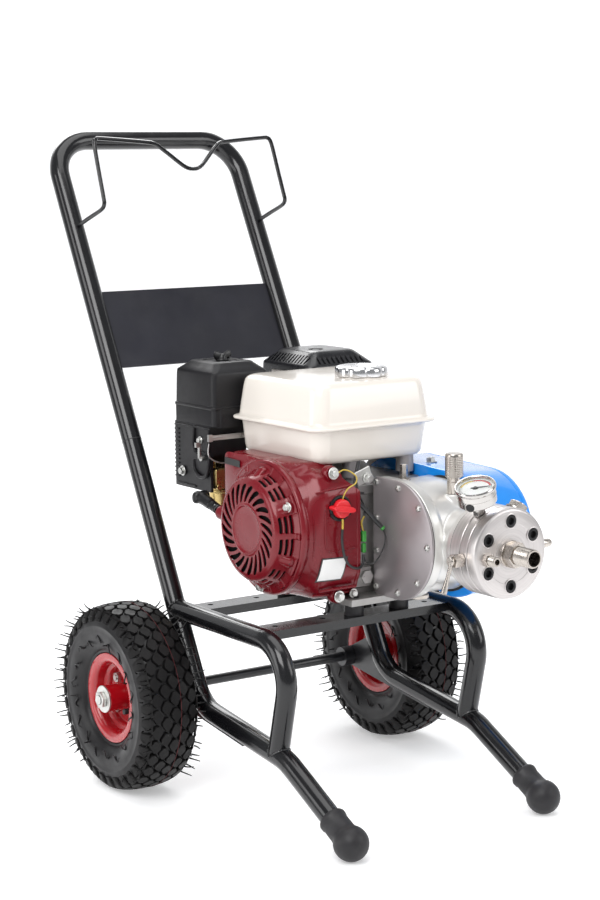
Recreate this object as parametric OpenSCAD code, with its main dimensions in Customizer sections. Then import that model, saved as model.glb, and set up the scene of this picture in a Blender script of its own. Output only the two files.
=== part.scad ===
// Petrol pump cart: two-wheeled tube cart, small petrol engine, belt drive and diaphragm pump
/* [Wheels] */
// Outer diameter of the pneumatic tyres
tyre_d = 260; // [200:1:330]
// Width over the tyre shoulders
tyre_w = 88; // [60:1:110]
// Distance from the middle plane to the middle of each wheel
wheel_x = 225; // [215:1:260]
// Diameter of the pressed rim flange
rim_d = 124; // [100:1:140]
/* [Frame] */
// Outer diameter of the frame tube
tube_d = 28; // [22:0.5:34]
// Wall thickness of the frame tube
tube_t = 1.5; // [1:0.1:3]
// Distance from the middle plane to each side tube
rail_x = 157; // [150:1:165]
// Height of the push bar above the floor
bar_h = 893; // [800:1:1000]
// Bend radius of the handle corners
bar_r = 60; // [40:1:80]
/* [Engine] */
// Crankshaft height above the floor
crank_z = 371; // [366:1:376]
// Diameter of the starter cover flange
starter_d = 176; // [160:1:180]
/* [Pump] */
// Radius of the round pump housing
housing_r = 80; // [76:0.5:82]
// Diameter of the stacked pump head
head_d = 120; // [110:1:124]
// Bolt circle of the pump head screws
head_pcd = 86; // [80:1:90]
/* [Hidden] */
$fn = 64;
y_off = 69.75;
R = tyre_d / 2;
tr = tube_d / 2;
ti = tr - tube_t;
rake = 27.7;
jy = 95; jz = 469;
hlen = (bar_h - jz) / cos(rake);
cy = -140; cz = crank_z;
px = 105; py = -263; pz = 357;
foot = [-432, 23];
legd = [0.8925, 0.4512];
rail_pts = [[jy, jz], [-84, 121.9], [-290.6, 94.5], [foot[0] + 22 * legd[0], foot[1] + 22 * legd[1]]];
rail_bend = [0, 60, 80, 0];
arm_pts = [[-19.9, 246], [-307, 246], [-271.5, 99]];
arm_bend = [0, 55, 0];
bar_pts = [[-rail_x, 0.2], [-rail_x, hlen], [rail_x, hlen], [rail_x, 0.2]];
bar_bend = [0, bar_r, bar_r, 0];
hole_y = [-222, -60];
hole_x = [1, 76.5];

function unit(v) = v / norm(v);
function interior(p, i) = acos(min(1, max(-1, unit(p[i-1] - p[i]) * unit(p[i+1] - p[i]))));
function tan_len(p, r, i) = (i <= 0 || i >= len(p) - 1) ? 0 : r[i] / tan(interior(p, i) / 2);
function ang(v) = atan2(v[1], v[0]);
function wrap(a) = a > 180 ? a - 360 : (a < -180 ? a + 360 : a);

// yz(x): local x,y become global y,z on the plane at x
module yz(x = 0) { translate([x, 0, 0]) rotate([90, 0, 90]) children(); }
module xax(x, y, z) { translate([x, y, z]) rotate([0, 90, 0]) children(); }
module yax(x, y, z) { translate([x, y, z]) rotate([90, 0, 0]) children(); }
module ring(h, ro, ri) { difference() { cylinder(h = h, r = ro); translate([0, 0, -1]) cylinder(h = h + 2, r = ri); } }
module xtube(x, y, z, l, ro, ri) { xax(x, y, z) ring(l, ro, ri); }
module xrod(x, y, z, l, r) { xax(x, y, z) cylinder(h = l, r = r); }
module yrod(x, y, z, l, r) { yax(x, y, z) cylinder(h = l, r = r); }
module rod(a, b, r) {
  v = b - a; l = norm(v);
  translate(a) rotate([0, acos(v[2] / l), atan2(v[1], v[0])]) cylinder(h = l, r = r);
}
module along(a, d) { translate(a) rotate([0, acos(d[2] / norm(d)), atan2(d[1], d[0])]) children(); }
// straight runs joined by true bends, drawn in the local xy plane
module path(p, rb, ro, e = 0) {
  for (i = [0 : len(p) - 2]) {
    u = unit(p[i+1] - p[i]);
    a = p[i] + u * (i == 0 ? -e : tan_len(p, rb, i) - 0.8);
    b = p[i+1] - u * (i == len(p) - 2 ? -e : tan_len(p, rb, i + 1) - 0.8);
    translate([a[0], a[1], 0]) rotate([0, 0, ang(u)]) rotate([0, 90, 0]) cylinder(h = norm(b - a), r = ro);
  }
  for (i = [1 : len(p) - 2]) {
    u1 = unit(p[i-1] - p[i]); u2 = unit(p[i+1] - p[i]);
    h = interior(p, i) / 2;
    c = p[i] + unit(u1 + u2) * rb[i] / sin(h);
    a1 = ang(p[i] + u1 * tan_len(p, rb, i) - c);
    sw = wrap(ang(p[i] + u2 * tan_len(p, rb, i) - c) - a1);
    translate([c[0], c[1], 0]) rotate([0, 0, sw > 0 ? a1 : a1 + sw]) rotate_extrude(angle = abs(sw))
      translate([rb[i], 0]) circle(r = ro + 0.06);
  }
}
module tubing(p, rb) { difference() { path(p, rb, tr); path(p, rb, ti, 2); } }
module rsq(w, h, r) {
  union() {
    translate([-w / 2 + r, -h / 2]) square([w - 2 * r, h]);
    translate([-w / 2, -h / 2 + r]) square([w, h - 2 * r]);
    for (i = [-1, 1], j = [-1, 1]) translate([i * (w / 2 - r), j * (h / 2 - r)]) circle(r = r);
  }
}
module hexn(af, h) { cylinder(h = h, r = af / sqrt(3), $fn = 6); }
// outline of a loop round two circles, centres a and b
function loop_pts(a, ra, b, rb, n = 30) = let(v = b - a, g = acos((ra - rb) / norm(v)), f = ang(v)) concat(
  [for (i = [0 : n]) let(t = f + g + (360 - 2 * g) * i / n) a + ra * [cos(t), sin(t)]],
  [for (i = [0 : n]) let(t = f - g + 2 * g * i / n) b + rb * [cos(t), sin(t)]]);
module loop2(a, ra, b, rb) { polygon(loop_pts(a, ra, b, rb)); }

// ---- cart frame ----
module side_rail(s) {
  color([0.03, 0.03, 0.035]) difference() {
    yz(s * rail_x) tubing(rail_pts, rail_bend);
    translate([s * rail_x, jy, jz]) rotate([-rake, 0, 0]) translate([0, 0, -34]) rotate([-90, 0, 0]) cylinder(h = 30, r = 4.3);
  }
}
module rail_left() { side_rail(-1); }
module rail_right() { side_rail(1); }
module arm(s) {
  color([0.03, 0.03, 0.035]) difference() {
    yz(s * rail_x) tubing(arm_pts, arm_bend);
    yz(s * rail_x) path(rail_pts, rail_bend, tr + 0.02);
  }
}
module arm_left() { arm(-1); }
module arm_right() { arm(1); }
module cross_rails() {
  color([0.03, 0.03, 0.035]) difference() {
    union() for (y = [hole_y[0] - 20, hole_y[1] - 20])
      difference() {
        translate([-147, y, 242]) cube([294, 40, 12]);
        translate([-150, y + 3, 240]) cube([300, 34, 11]);
      }
    for (s = [-1, 1]) yz(s * rail_x) path([[0, 246], [-307, 246], [-271.5, 99]], arm_bend, tr + 0.02);
    for (y = hole_y, x = hole_x) translate([x, y, 240]) cylinder(h = 20, r = 4.6);
    for (y = hole_y, x = [-124, -48, 124]) translate([x, y + 4, 240]) cylinder(h = 20, r = 4);
  }
}
module axle_brackets() {
  color([0.06, 0.06, 0.065]) for (s = [-1, 1]) difference() {
    union() {
      yz(s * rail_x) translate([0, 0, -3]) linear_extrude(6) polygon([[0, 144], [-52, 170], [-84, 122], [-186, 104], [-190, 90], [0, 116]]);
      xrod(s * rail_x - 20, 0, 130, 40, 14);
    }
    xrod(s * rail_x - 30, 0, 130, 60, 7.05);
    yz(s * rail_x) path(rail_pts, rail_bend, tr + 0.02);
  }
}
module axle() { color([0.05, 0.05, 0.055]) xrod(-273, 0, 130, 546, 7); }
module handle() {
  color([0.03, 0.03, 0.035]) translate([0, jy, jz]) rotate([-rake, 0, 0]) difference() {
    union() {
      rotate([90, 0, 0]) tubing(bar_pts, bar_bend);
      for (s = [-1, 1]) translate([s * rail_x, 0, 0]) {
        translate([0, 0, -60]) ring(75, 11.9, 10);
        translate([0, 0, 0.2]) ring(15, 13, 10);
      }
    }
    for (s = [-1, 1]) translate([s * rail_x, 0, -34]) rotate([-90, 0, 0]) cylinder(h = 20, r = 4.3);
  }
}
// hook wire: one bent rod, welded to the front of both side tubes
hook_half = [[157, 234.1, 771], [156.8, 210, 780], [156, 178, 791], [155.5, 166, 797], [155, 163, 803], [154.6, 165, 810], [153.6, 178, 844],
  [152.6, 191, 879], [151, 195.5, 891], [147, 197, 894.6], [140, 197, 894.9], [100, 194, 892], [66, 191, 889], [56, 189.5, 887], [46, 186, 880.5], [20, 175.5, 858], [10, 172.5, 851.6]];
hook_pts = concat(hook_half, [[0, 171.8, 850]], [for (i = [len(hook_half) - 1 : -1 : 0]) [-hook_half[i][0], hook_half[i][1], hook_half[i][2]]]);
module hose_hook() { color([0.03, 0.03, 0.035]) sweep(hook_pts, 3, 79, 10); }
module name_panel() {
  color([0.02, 0.02, 0.022]) translate([0, jy, jz]) rotate([-rake, 0, 0]) difference() {
    translate([-142.9, -1.25, 111.8]) cube([285.8, 2.5, 119.7]);
    for (s = [-1, 1]) translate([s * rail_x, 0, 100]) cylinder(h = 140, r = tr + 0.02);
  }
}
module snap(s) {
  color([0.7, 0.7, 0.72]) translate([s * rail_x, jy, jz]) rotate([-rake, 0, 0]) translate([0, 0, -34]) rotate([-90, 0, 0]) {
    translate([0, 0, 7.5]) cylinder(h = 10.5, r = 4);
    translate([0, 0, 5.2]) cylinder(h = 2.6, r = 5);
  }
}
module snap_button_left() { snap(-1); }
module snap_button_right() { snap(1); }
module foot_boot(s) {
  color([0.12, 0.12, 0.13]) difference() {
    union() {
      translate([s * rail_x, foot[0], foot[1]]) sphere(r = 23);
      along([s * rail_x, foot[0], foot[1]], [0, legd[0], legd[1]]) cylinder(h = 46, r1 = 20, r2 = 17.5);
    }
    along([s * rail_x, foot[0] + 21.8 * legd[0], foot[1] + 21.8 * legd[1]], [0, legd[0], legd[1]]) cylinder(h = 40, r = tr + 0.02);
  }
}
module foot_left() { foot_boot(-1); }
module foot_right() { foot_boot(1); }

// ---- wheels ----
tyre_prof = [[50, -21], [50, -12], [56, -12], [62, -18], [78, -34], [96, -38.5], [112, -36], [120, -24], [122, 0],
  [120, 24], [112, 36], [96, 38.5], [78, 34], [62, 18], [56, 12], [50, 12], [50, 21], [53, 25.6], [63.5, 26.4], [66, 33],
  [78, 40], [95, 44], [110, 43], [119, 38], [126, 25], [130, 12], [130, -12], [126, -25], [119, -38], [110, -43], [95, -44],
  [78, -40], [66, -33], [63.5, -26.4], [53, -25.6]];
module tyre(s) { color([0.03, 0.03, 0.032]) xax(s * wheel_x, 0, 130) rotate_extrude() polygon([for (p = tyre_prof) [p[0] * R / 130, p[1] * tyre_w / 88]]); }
module tyre_left() { tyre(-1); }
module tyre_right() { tyre(1); }
rim_half = [[18, -0.3], [39, -0.3], [46.5, 4.5], [49.5, 9], [49.5, 22], [53, 27], [62, 27], [62, 29], [52, 29], [47.5, 24],
  [47.5, 10], [45, 6.2], [38.5, 2.2], [18, 2.2]];
module rim(s) {
  color([0.55, 0.02, 0.03]) xax(s * wheel_x, 0, 130) difference() {
    union() {
      for (m = [0, 1]) mirror([0, 0, m]) rotate_extrude() polygon([for (p = rim_half) [p[0] * rim_d / 124, p[1]]]);
      translate([0, 0, -38]) cylinder(h = 76, r = 18.5);
    }
    translate([0, 0, -40]) cylinder(h = 80, r = 7.05);
    for (a = [45 : 90 : 315]) rotate([0, 0, a]) translate([30, 0, -5]) cylinder(h = 10, r = 4.02);
    rotate([0, 0, 90]) translate([31, 0, -5]) cylinder(h = 10, r = 4.1);
  }
}
module rim_left() { rim(-1); }
module rim_right() { rim(1); }
module rim_bolts(s) {
  color([0.7, 0.7, 0.72]) xax(s * wheel_x, 0, 130) for (a = [45 : 90 : 315]) rotate([0, 0, a]) translate([30, 0, 0]) {
    translate([0, 0, -10]) cylinder(h = 20, r = 4);
    translate([0, 0, 2.2]) hexn(13, 5.2);
    translate([0, 0, -8.2]) hexn(13, 6);
  }
}
module rim_bolts_left() { rim_bolts(-1); }
module rim_bolts_right() { rim_bolts(1); }
module axle_nuts() {
  color([0.72, 0.72, 0.74]) for (s = [-1, 1]) {
    xax(s > 0 ? 263.3 : -265.8, 0, 130) ring(2.5, 19, 7.01);
    difference() {
      xax(s > 0 ? 265.8 : -272.6, 0, 130) hexn(21, 6.8);
      xrod(s > 0 ? 264 : -274, 0, 130, 10, 7.01);
    }
    xax(s > 0 ? 177.2 : -186.7, 0, 130) ring(9.5, 11, 7.01);
  }
}

// ---- engine ----
module slant(d) { translate([0, cy, cz]) rotate([25, 0, 0]) translate([65, d, 0]) children(); }
module rubber_mounts() {
  color([0.1, 0.1, 0.11]) for (y = hole_y, x = hole_x) difference() {
    union() { translate([x, y, 254]) cylinder(h = 14, r = 13.5); translate([x, y, 247]) cylinder(h = 20, r = 4.55); translate([x, y, 242.5]) hexn(13, 5); translate([x, y, 267]) cylinder(h = 17, r = 4); translate([x, y, 277]) hexn(13, 6); }
    translate([x, y, 266]) ring(0.01, 20, 19);
  }
}
module crankcase() {
  color([0.62, 0.62, 0.6]) difference() {
    union() {
      difference() {
        union() {
          translate([5, -205, 276]) cube([121, 130, 154]);
          slant(0) translate([-44, 0, -44]) cube([88, 66, 88]);
        }
        slant(66) translate([-60, 0, -60]) cube([120, 90, 120]);
      }
      xrod(125, cy, cz, 13, 84);
      translate([-14, -238, 268]) cube([106, 194, 9]);
    }
    xrod(14, cy, cz, 108, 56);
    xrod(0, cy, cz, 140, 15.05);
    slant(30) rotate([-90, 0, 0]) cylinder(h = 60, r = 34);
    for (y = hole_y, x = hole_x) translate([x, y, 260]) cylinder(h = 30, r = 4.02);
    translate([30, -150, 300]) rotate([90, 0, 0]) cylinder(h = 70, r = 6.05);
    for (x = [20.6, 112]) translate([x, -190, 420]) cylinder(h = 20, r = 4.02);
  }
}
module crankshaft() {
  color([0.5, 0.5, 0.52]) union() {
    xrod(-72, cy, cz, 96, 12); xrod(4, cy, cz, 20, 15);
    xrod(112, cy, cz, 28, 15); xrod(138, cy, cz, 58, 12.5);
    xrod(24, cy, cz, 90, 15);
    for (x = [40, 76]) xrod(x, cy, cz, 14, 46);
    xax(160, cy, cz) sheave(38, 30.6);
  }
}
module flywheel() { color([0.3, 0.3, 0.3]) xax(-62, cy, cz) difference() { union() { cylinder(h = 12, r = 80); cylinder(h = 40, r = 30); for (a = [0 : 30 : 330]) rotate([0, 0, a]) translate([50, -1.5, -14]) cube([26, 3, 15]); } translate([0, 0, -20]) cylinder(h = 70, r = 12.02); } }
module shroud_prof(d) {
  intersection() { translate([cy, cz]) circle(r = 93 - d); translate([-400, 100]) square([600, 360 - d]); }
  translate([cy, cz - d]) square([95 - d, 84]);
  translate([-222 + d, 279 + d]) square([82, 176 - 2 * d]);
  translate([-235 + d, 300 + d]) square([95, 140 - 2 * d]);
  for (p = [[-213, 301], [-213, 433]]) translate(p) circle(r = 22 - d);
}
module shroud() {
  color([0.45, 0.02, 0.05]) difference() {
    yz(-89) linear_extrude(92) shroud_prof(0);
    yz(-86) linear_extrude(95) shroud_prof(3);
    xrod(-95, cy, cz, 12, 72);
    translate([-30, -220, 404]) rotate([90, 0, 0]) cylinder(h = 30, r = 5.3);
    for (y = hole_y) translate([hole_x[0], y, 268]) cylinder(h = 22, r = 9);
  }
}
dome_o = [[0, 28], [62, 28], [66, 27], [69, 24], [78, 4], [81, 2.5], [88, 2.5], [88, 0], [76, 0], [66.4, 22.6], [64.6, 24.8], [61, 25.6], [0, 25.6]];
module recoil_cover() {
  color([0.55, 0.03, 0.06]) xax(-89.1, cy, cz) rotate([0, 180, 0]) difference() {
    rotate_extrude() polygon([for (p = dome_o) [p[0] * starter_d / 176, p[1]]]);
    for (a = [0 : 15 : 345]) rotate([0, 0, a]) translate([39, -2.2, 20]) cube([20, 4.4, 12]);
    rotate([0, 0, -75.6]) translate([50, -8, 8]) cube([30, 16, 12]);
  }
}
module rope_grip() {
  color([0.03, 0.03, 0.035]) union() {
    along([-103, -48, 383.7], [0, 0.97, 0.25]) { cylinder(h = 10, r = 7); translate([0, 0, 10]) cylinder(h = 34, r1 = 7, r2 = 8.5); translate([0, 0, -18]) cylinder(h = 19, r = 2); }
    translate([-103, -48 + 48 * 0.97, 383.7 + 48 * 0.25]) rotate([14.5, 0, 0]) cube([24, 14, 18], center = true);
  }
}
module switch_knob() {
  color([0.8, 0.04, 0.05]) { yrod(-30, -235.3, 404, 9, 13); translate([-48, -250, 401.5]) cube([36, 8, 5]); yrod(-30, -222, 404, 14, 5); }
}
module fins(n, d, p, w) { for (i = [0 : n - 1]) translate([-w / 2, d + i * p, -w / 2]) cube([w, 2.5, w]); }
module cylinder_barrel() {
  color([0.6, 0.6, 0.58]) difference() {
    slant(0) difference() {
      union() { translate([0, 66.1, 0]) rotate([-90, 0, 0]) cylinder(h = 64.9, r = 40); fins(7, 71, 9, 88); }
      translate([0, 60, 0]) rotate([-90, 0, 0]) cylinder(h = 80, r = 34);
    }
    translate([-50, -160, 460.6]) cube([230, 139, 60]);
  }
}
module cylinder_head() {
  color([0.6, 0.6, 0.58]) difference() {
    slant(0) union() {
      translate([-40, 131.1, -40]) cube([80, 46, 80]);
      fins(5, 133, 9, 86);
      translate([-34, 177, -36]) cube([68, 20, 72]);
    }
    translate([-50, -160, 460.6]) cube([230, 139, 60]);
  }
}
module carburettor() {
  color([0.75, 0.6, 0.25]) union() {
    translate([-52, 28, 374]) cylinder(h = 24, r = 16);
    translate([-52, 28, 366]) cylinder(h = 9, r = 5);
    translate([-70, 12, 398]) cube([36, 34, 36]);
    xrod(-36, 29, 416, 56, 13);
  }
}
module air_base() {
  color([0.03, 0.03, 0.03]) difference() {
    union() {
      translate([-28, 51, 490]) linear_extrude(26.8) rsq(92, 110, 8);
      translate([-80, 50, 398]) cube([60, 54, 94]);
      translate([-80, 8, 450]) cube([60, 44, 42]);
      translate([-80, 8, 398]) cube([4, 44, 54]);
    }
    translate([-28, 51, 494]) linear_extrude(30) rsq(84, 102, 6);
    translate([-76, 56, 402]) cube([52, 44, 84]);
  }
}
module air_cover() {
  color([0.03, 0.03, 0.03]) difference() {
    union() {
      translate([-28, 51, 517]) linear_extrude(54) rsq(84, 104, 9);
      translate([-28, 51, 571]) linear_extrude(9) rsq(70, 90, 12);
    }
    translate([-28, 51, 510]) linear_extrude(58) rsq(78, 98, 7);
    translate([-28, 56, 560]) cylinder(h = 30, r = 3.35);
  }
}
module wing_nut() { color([0.03, 0.03, 0.03]) translate([-28, 56, 540]) { cylinder(h = 42, r = 3); translate([0, 0, 40.3]) cylinder(h = 7, r = 6); for (s = [-1, 1]) translate([s * 9 - 4.5, -1.5, 42]) cube([9, 3, 9]); } }
module choke_lever() { color([0.6, 0.6, 0.6]) { translate([-88.4, 22, 446]) rotate([0, 90, 0]) cylinder(h = 8, r = 4); translate([-91, 20, 446]) cube([2.8, 5, 22]); translate([-96, 20, 462]) cube([6, 5, 7]); } }
module throttle_lever() { color([0.3, 0.3, 0.3]) { translate([-92, -8, 474.5]) cube([66, 2.5, 7]); translate([-93, -9.5, 473]) cube([6, 5, 10]); } }
module muffler() { color([0.35, 0.34, 0.33]) union() { translate([124, 52, 506]) linear_extrude(50) rsq(100, 86, 18); translate([124, 30, 478]) cylinder(h = 32, r = 12); } }
module muffler_guard() {
  color([0.03, 0.03, 0.03]) difference() {
    union() { translate([124, 52, 528]) linear_extrude(44) rsq(124, 108, 14); translate([124, 52, 572]) linear_extrude(13) rsq(102, 86, 14); }
    translate([124, 52, 526]) linear_extrude(44) rsq(120, 104, 12);
    translate([124, 52, 560]) linear_extrude(23) rsq(98, 82, 12);
    for (i = [0 : 9]) translate([88 + i * 8, -8, 568]) cube([4, 24, 14]);
    for (i = [0 : 8]) translate([56, 16 + i * 8, 568]) cube([26, 4, 14]);
  }
}
module tank() {
  color([0.9, 0.88, 0.82]) difference() {
    union() {
      translate([48, -110, 506]) linear_extrude(4) rsq(196, 204, 34);
      translate([48, -109, 509]) linear_extrude(58) rsq(180, 190, 32);
      translate([47, -110, 461]) linear_extrude(46) rsq(166, 176, 30);
    }
    translate([48, -109, 509]) linear_extrude(55) rsq(174, 184, 29);
    translate([47, -110, 464]) linear_extrude(46) rsq(160, 170, 27);
    translate([62, -158, 560]) cylinder(h = 10, r = 24);
  }
}
module tank_cap() {
  color([0.85, 0.85, 0.86]) difference() {
    union() { translate([62, -158, 567.4]) cylinder(h = 13, r = 32); translate([62, -158, 580]) cylinder(h = 3.5, r = 29); for (a = [0 : 45 : 315]) rotate([0, 0, 0]) translate([62 + 28.5 * cos(a), -158 + 28.5 * sin(a), 567.4]) cylinder(h = 13, r = 8); }
    translate([62, -158, 566]) cylinder(h = 10, r = 27);
  }
}
module tank_posts() {
  color([0.4, 0.4, 0.42]) for (x = [20.6, 112]) union() { translate([x, -190, 436]) cylinder(h = 24.8, r = 12.2); translate([x, -190, 424]) cylinder(h = 13, r = 4); translate([x, -190, 430.1]) hexn(13, 6); }
}
module dipstick() { color([0.75, 0.75, 0.76]) { translate([30, -205.2, 300]) rotate([90, 0, 0]) hexn(17, 9); translate([30, -160, 300]) rotate([90, 0, 0]) cylinder(h = 46, r = 6); } }
// engine stop wiring: a loop from the switch to the crankcase, held all the way
wire_pts = [[-30, -240, 388], [-32, -241, 360], [-26, -241, 335], [-14, -241, 325], [2, -241, 330], [10, -234, 345], [12, -226, 362], [12, -216, 385], [12, -211, 405], [10, -209, 430], [10, -208.5, 452]];
function catm(p, t) = let(n = len(p) - 1, s = min(n - 0.0001, max(0, t * n)), i = floor(s), f = s - i,
  a = p[max(0, i-1)], b = p[i], c = p[i+1], d = p[min(n, i+2)])
  0.5 * ((2 * b) + (c - a) * f + (2 * a - 5 * b + 4 * c - d) * f * f + (3 * b - a - 3 * c + d) * f * f * f);
module sweep(p, r, n, k) {
  c = [for (i = [0 : n - 1]) catm(p, i / (n - 1))];
  t = [for (i = [0 : n - 1]) unit(c[min(n-1, i+1)] - c[max(0, i-1)])];
  ux = [for (i = [0 : n - 1]) unit(cross(t[i], [0.83, 0.1, 0.55]))];
  vx = [for (i = [0 : n - 1]) cross(t[i], ux[i])];
  pts = [for (i = [0 : n - 1], j = [0 : k - 1]) c[i] + r * (cos(360 * j / k) * ux[i] + sin(360 * j / k) * vx[i])];
  polyhedron(pts, concat([[for (j = [0 : k - 1]) j]],
    [for (i = [0 : n - 2], j = [0 : k - 1]) [i * k + j, (i + 1) * k + j, (i + 1) * k + (j + 1) % k, i * k + (j + 1) % k]],
    [[for (j = [k - 1 : -1 : 0]) (n - 1) * k + j]]));
}
module wiring() { color([0.02, 0.02, 0.02]) sweep(wire_pts, 1.6, 60, 8); }

// ---- belt drive ----
module sheave(ro, rc) { difference() { union() { cylinder(h = 3.4, r = ro); cylinder(h = 18, r = rc); translate([0, 0, 14.6]) cylinder(h = 3.4, r = ro); } } }
module belt() {
  color([0.03, 0.03, 0.03]) yz(164) linear_extrude(10) difference() { loop2([cy, cz], 39, [py, pz], 75); loop2([cy, cz], 31, [py, pz], 67); }
}
module belt_guard() {
  color([0.1, 0.45, 0.85]) difference() {
    union() {
      yz(148.2) linear_extrude(42) loop2([cy, cz], 76, [-275, pz], 86);
      yz(190) linear_extrude(9) loop2([cy, cz], 76, [-275, pz], 86);
      yz(199) linear_extrude(4) loop2([cy, cz], 72, [-275, pz], 82);
    }
    yz(150.2) linear_extrude(46.8) loop2([cy, cz], 74, [-275, pz], 84);
    xrod(140, cy, cz, 20, 24);
    xrod(140, py, pz, 20, 24);
    yrod(px, -357, pz - 1, 10, head_d / 2 + 1);
  }
}

// ---- pump ----
module d_prof(r, b) { union() { intersection() { translate([py, pz]) circle(r = r); translate([py - 2 * r, pz - 2 * r]) square([b - py + 2 * r, 4 * r]); } translate([py, pz - r + 3]) square([b - py, 2 * r - 5]); } }
module pump_housing() {
  color([0.75, 0.74, 0.72]) difference() {
    union() {
      yz(43.4) linear_extrude(18) d_prof(housing_r, -214);
      xrod(60, py, pz, 88, housing_r - 2.5);
      yz(60) linear_extrude(66) polygon([[py, 282], [-205.2, 292], [-205.2, 429], [py, 431]]);
      yz(100) linear_extrude(48) polygon([[py, 282], [-226, 284], [-226, 431], [py, 431]]);
      yrod(px, py, pz, 94, 50);
      translate([px, -310, 400]) cylinder(h = 31, r = 13);
    }
    xrod(48, py, pz, 90, 62);
    xrod(130, py, pz, 30, 15.05);
    yrod(px, py, pz, 100, 17);
    translate([px, -308, 408]) cylinder(h = 30, r = 6.05);
    translate([74, -238, 426]) cylinder(h = 30, r = 5.02);
    for (s = plate_pos) translate([30, s[0], s[1]]) rotate([0, 90, 0]) cylinder(h = 26, r = 2.02);
    translate([0, -205.1, 260]) cube([200, 100, 190]);
    xrod(124.9, cy, cz, 13.2, 84.1);
    xrod(130, cy, cz, 30, 20);
    translate([148.1, -420, 250]) cube([30, 250, 220]);
  }
}
plate_pos = [[-222, 431], [-271, 428.5], [-315, 407], [-333.5, 357], [-312, 306], [-269, 286], [-221, 287], [-222, 337], [-222, 382]];
module side_plate() {
  color([0.45, 0.43, 0.44]) difference() {
    yz(40) linear_extrude(3.3) d_prof(housing_r + 1, -214);
    for (s = plate_pos) translate([30, s[0], s[1]]) rotate([0, 90, 0]) cylinder(h = 26, r = 2.02);
  }
}
module plate_screws() { color([0.75, 0.75, 0.76]) for (s = plate_pos) translate([0, s[0], s[1]]) rotate([0, 90, 0]) union() { translate([0, 0, 40 - 2.2]) cylinder(h = 2.2, r = 3.8); translate([0, 0, 39]) cylinder(h = 14, r = 2); } }
module pump_shaft() {
  color([0.4, 0.4, 0.42]) union() {
    xrod(54, py, pz, 126, 15);
    xrod(92, py, pz + 5, 26, 24);
    xax(160, py, pz) sheave(74, 66.6);
  }
}
head_prof = [[9, 0], [60, 0], [60, 17], [58.4, 18], [58.4, 20], [60, 21], [60, 34], [58.4, 35], [58.4, 37], [60, 38], [60, 64.5], [57.5, 67], [9, 67]];
screw_a = [-150, -90, -30, 30, 90, 150];
gauge_p = [76, -397, 406];
gauge_d = [-0.32, -0.17, 0.93];
module pump_head() {
  color([0.78, 0.76, 0.74]) difference() {
    yax(px, -357.8, pz - 1) rotate_extrude() polygon([for (p = head_prof) [p[0] > 20 ? p[0] * head_d / 120 : p[0], p[1]]]);
    for (a = screw_a) translate([px + head_pcd / 2 * cos(a), 0, pz - 1 + head_pcd / 2 * sin(a)]) { yrod(0, -370, 0, 60, 5.02); yrod(0, -417.8, 0, 20, 8.4); }
    along(gauge_p - 14 * gauge_d, gauge_d) cylinder(h = 40, r = 5.02);
    along(gauge_p + 1 * gauge_d, gauge_d) cylinder(h = 40, r = 8.5);
    along([px, -394, pz - 1], [0.57, 0, 0.82]) translate([0, 0, 44]) cylinder(h = 40, r = 7.02);
    xrod(30, -398, 351, 30, 5.02);
    xrod(150, -411, 360, 30, 4.02);
    yrod(65, -410, 353, 30, 5.02);
  }
}
module head_screws() {
  color([0.03, 0.03, 0.03]) for (a = screw_a) translate([px + head_pcd / 2 * cos(a), 0, pz - 1 + head_pcd / 2 * sin(a)]) difference() {
    union() { yrod(0, -380, 0, 38, 5); yrod(0, -417.8, 0, 8, 8); }
    translate([0, -420.8, 0]) rotate([90, 0, 0]) cylinder(h = 10, r = 4.6, $fn = 6);
  }
}
module gauge() {
  color([0.78, 0.77, 0.75]) along(gauge_p, gauge_d) difference() {
    union() { translate([0, 0, -12]) cylinder(h = 14, r = 5); translate([0, 0, 2]) hexn(12, 8); translate([0, 0, 9]) cylinder(h = 23, r = 25.5); translate([0, 0, 30.5]) cylinder(h = 4.5, r = 27); }
    translate([0, 0, 29]) cylinder(h = 10, r = 24.2);
  }
}
module gauge_needle() { color([0.02, 0.02, 0.02]) along(gauge_p, gauge_d) { translate([0, 0, 29.5]) cylinder(h = 2.5, r = 2); translate([-5, -0.6, 30.6]) cube([22, 1.2, 0.8]); } }
module pressure_knob() {
  color([0.6, 0.58, 0.56]) { translate([px, -308, 431.3]) cylinder(h = 11, r = 8.5); translate([px, -308, 442]) cylinder(h = 32, r = 12); translate([px, -308, 412]) cylinder(h = 20, r = 6); }
}
module head_plugs() {
  color([0.7, 0.68, 0.66]) {
    along([px, -394, pz - 1], [0.57, 0, 0.82]) union() { translate([0, 0, 46]) cylinder(h = 15, r = 7); translate([0, 0, 60.2]) hexn(24, 9); }
    xrod(151, -411, 360, 32, 4); xrod(166, -411, 360, 17, 5.5);
    translate([74, -238, 428]) cylinder(h = 26, r = 5); translate([74, -238, 433.2]) hexn(16, 4);
  }
}
module drain_valve() { color([0.72, 0.7, 0.68]) union() { xrod(32, -398, 351, 24, 5); xax(24, -398, 351) hexn(17, 20.5); xrod(21.5, -398, 351, 3, 5.5); } }
module drain_lever() { color([0.72, 0.7, 0.68]) { xrod(15.5, -398, 351, 5.6, 5.5); rod([18, -399, 346], [13, -394, 306], 2.6); } }
module inlet_fitting() {
  color([0.74, 0.72, 0.7]) difference() {
    union() { yrod(px, -410, pz - 1, 16, 8.9); yax(px, -424.9, pz - 1) hexn(30, 17); yrod(px, -441, pz - 1, 30, 12.5); }
    yrod(px, -400, pz - 1, 80, 8);
  }
}
module outlet_fitting() {
  color([0.74, 0.72, 0.7]) difference() {
    union() { yrod(65, -411, 353, 15, 5); yax(65, -424.9, 353) hexn(14, 8); yrod(65, -432, 353, 14, 6.6); }
    yrod(65, -405, 353, 50, 2.6);
  }
}

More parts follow.
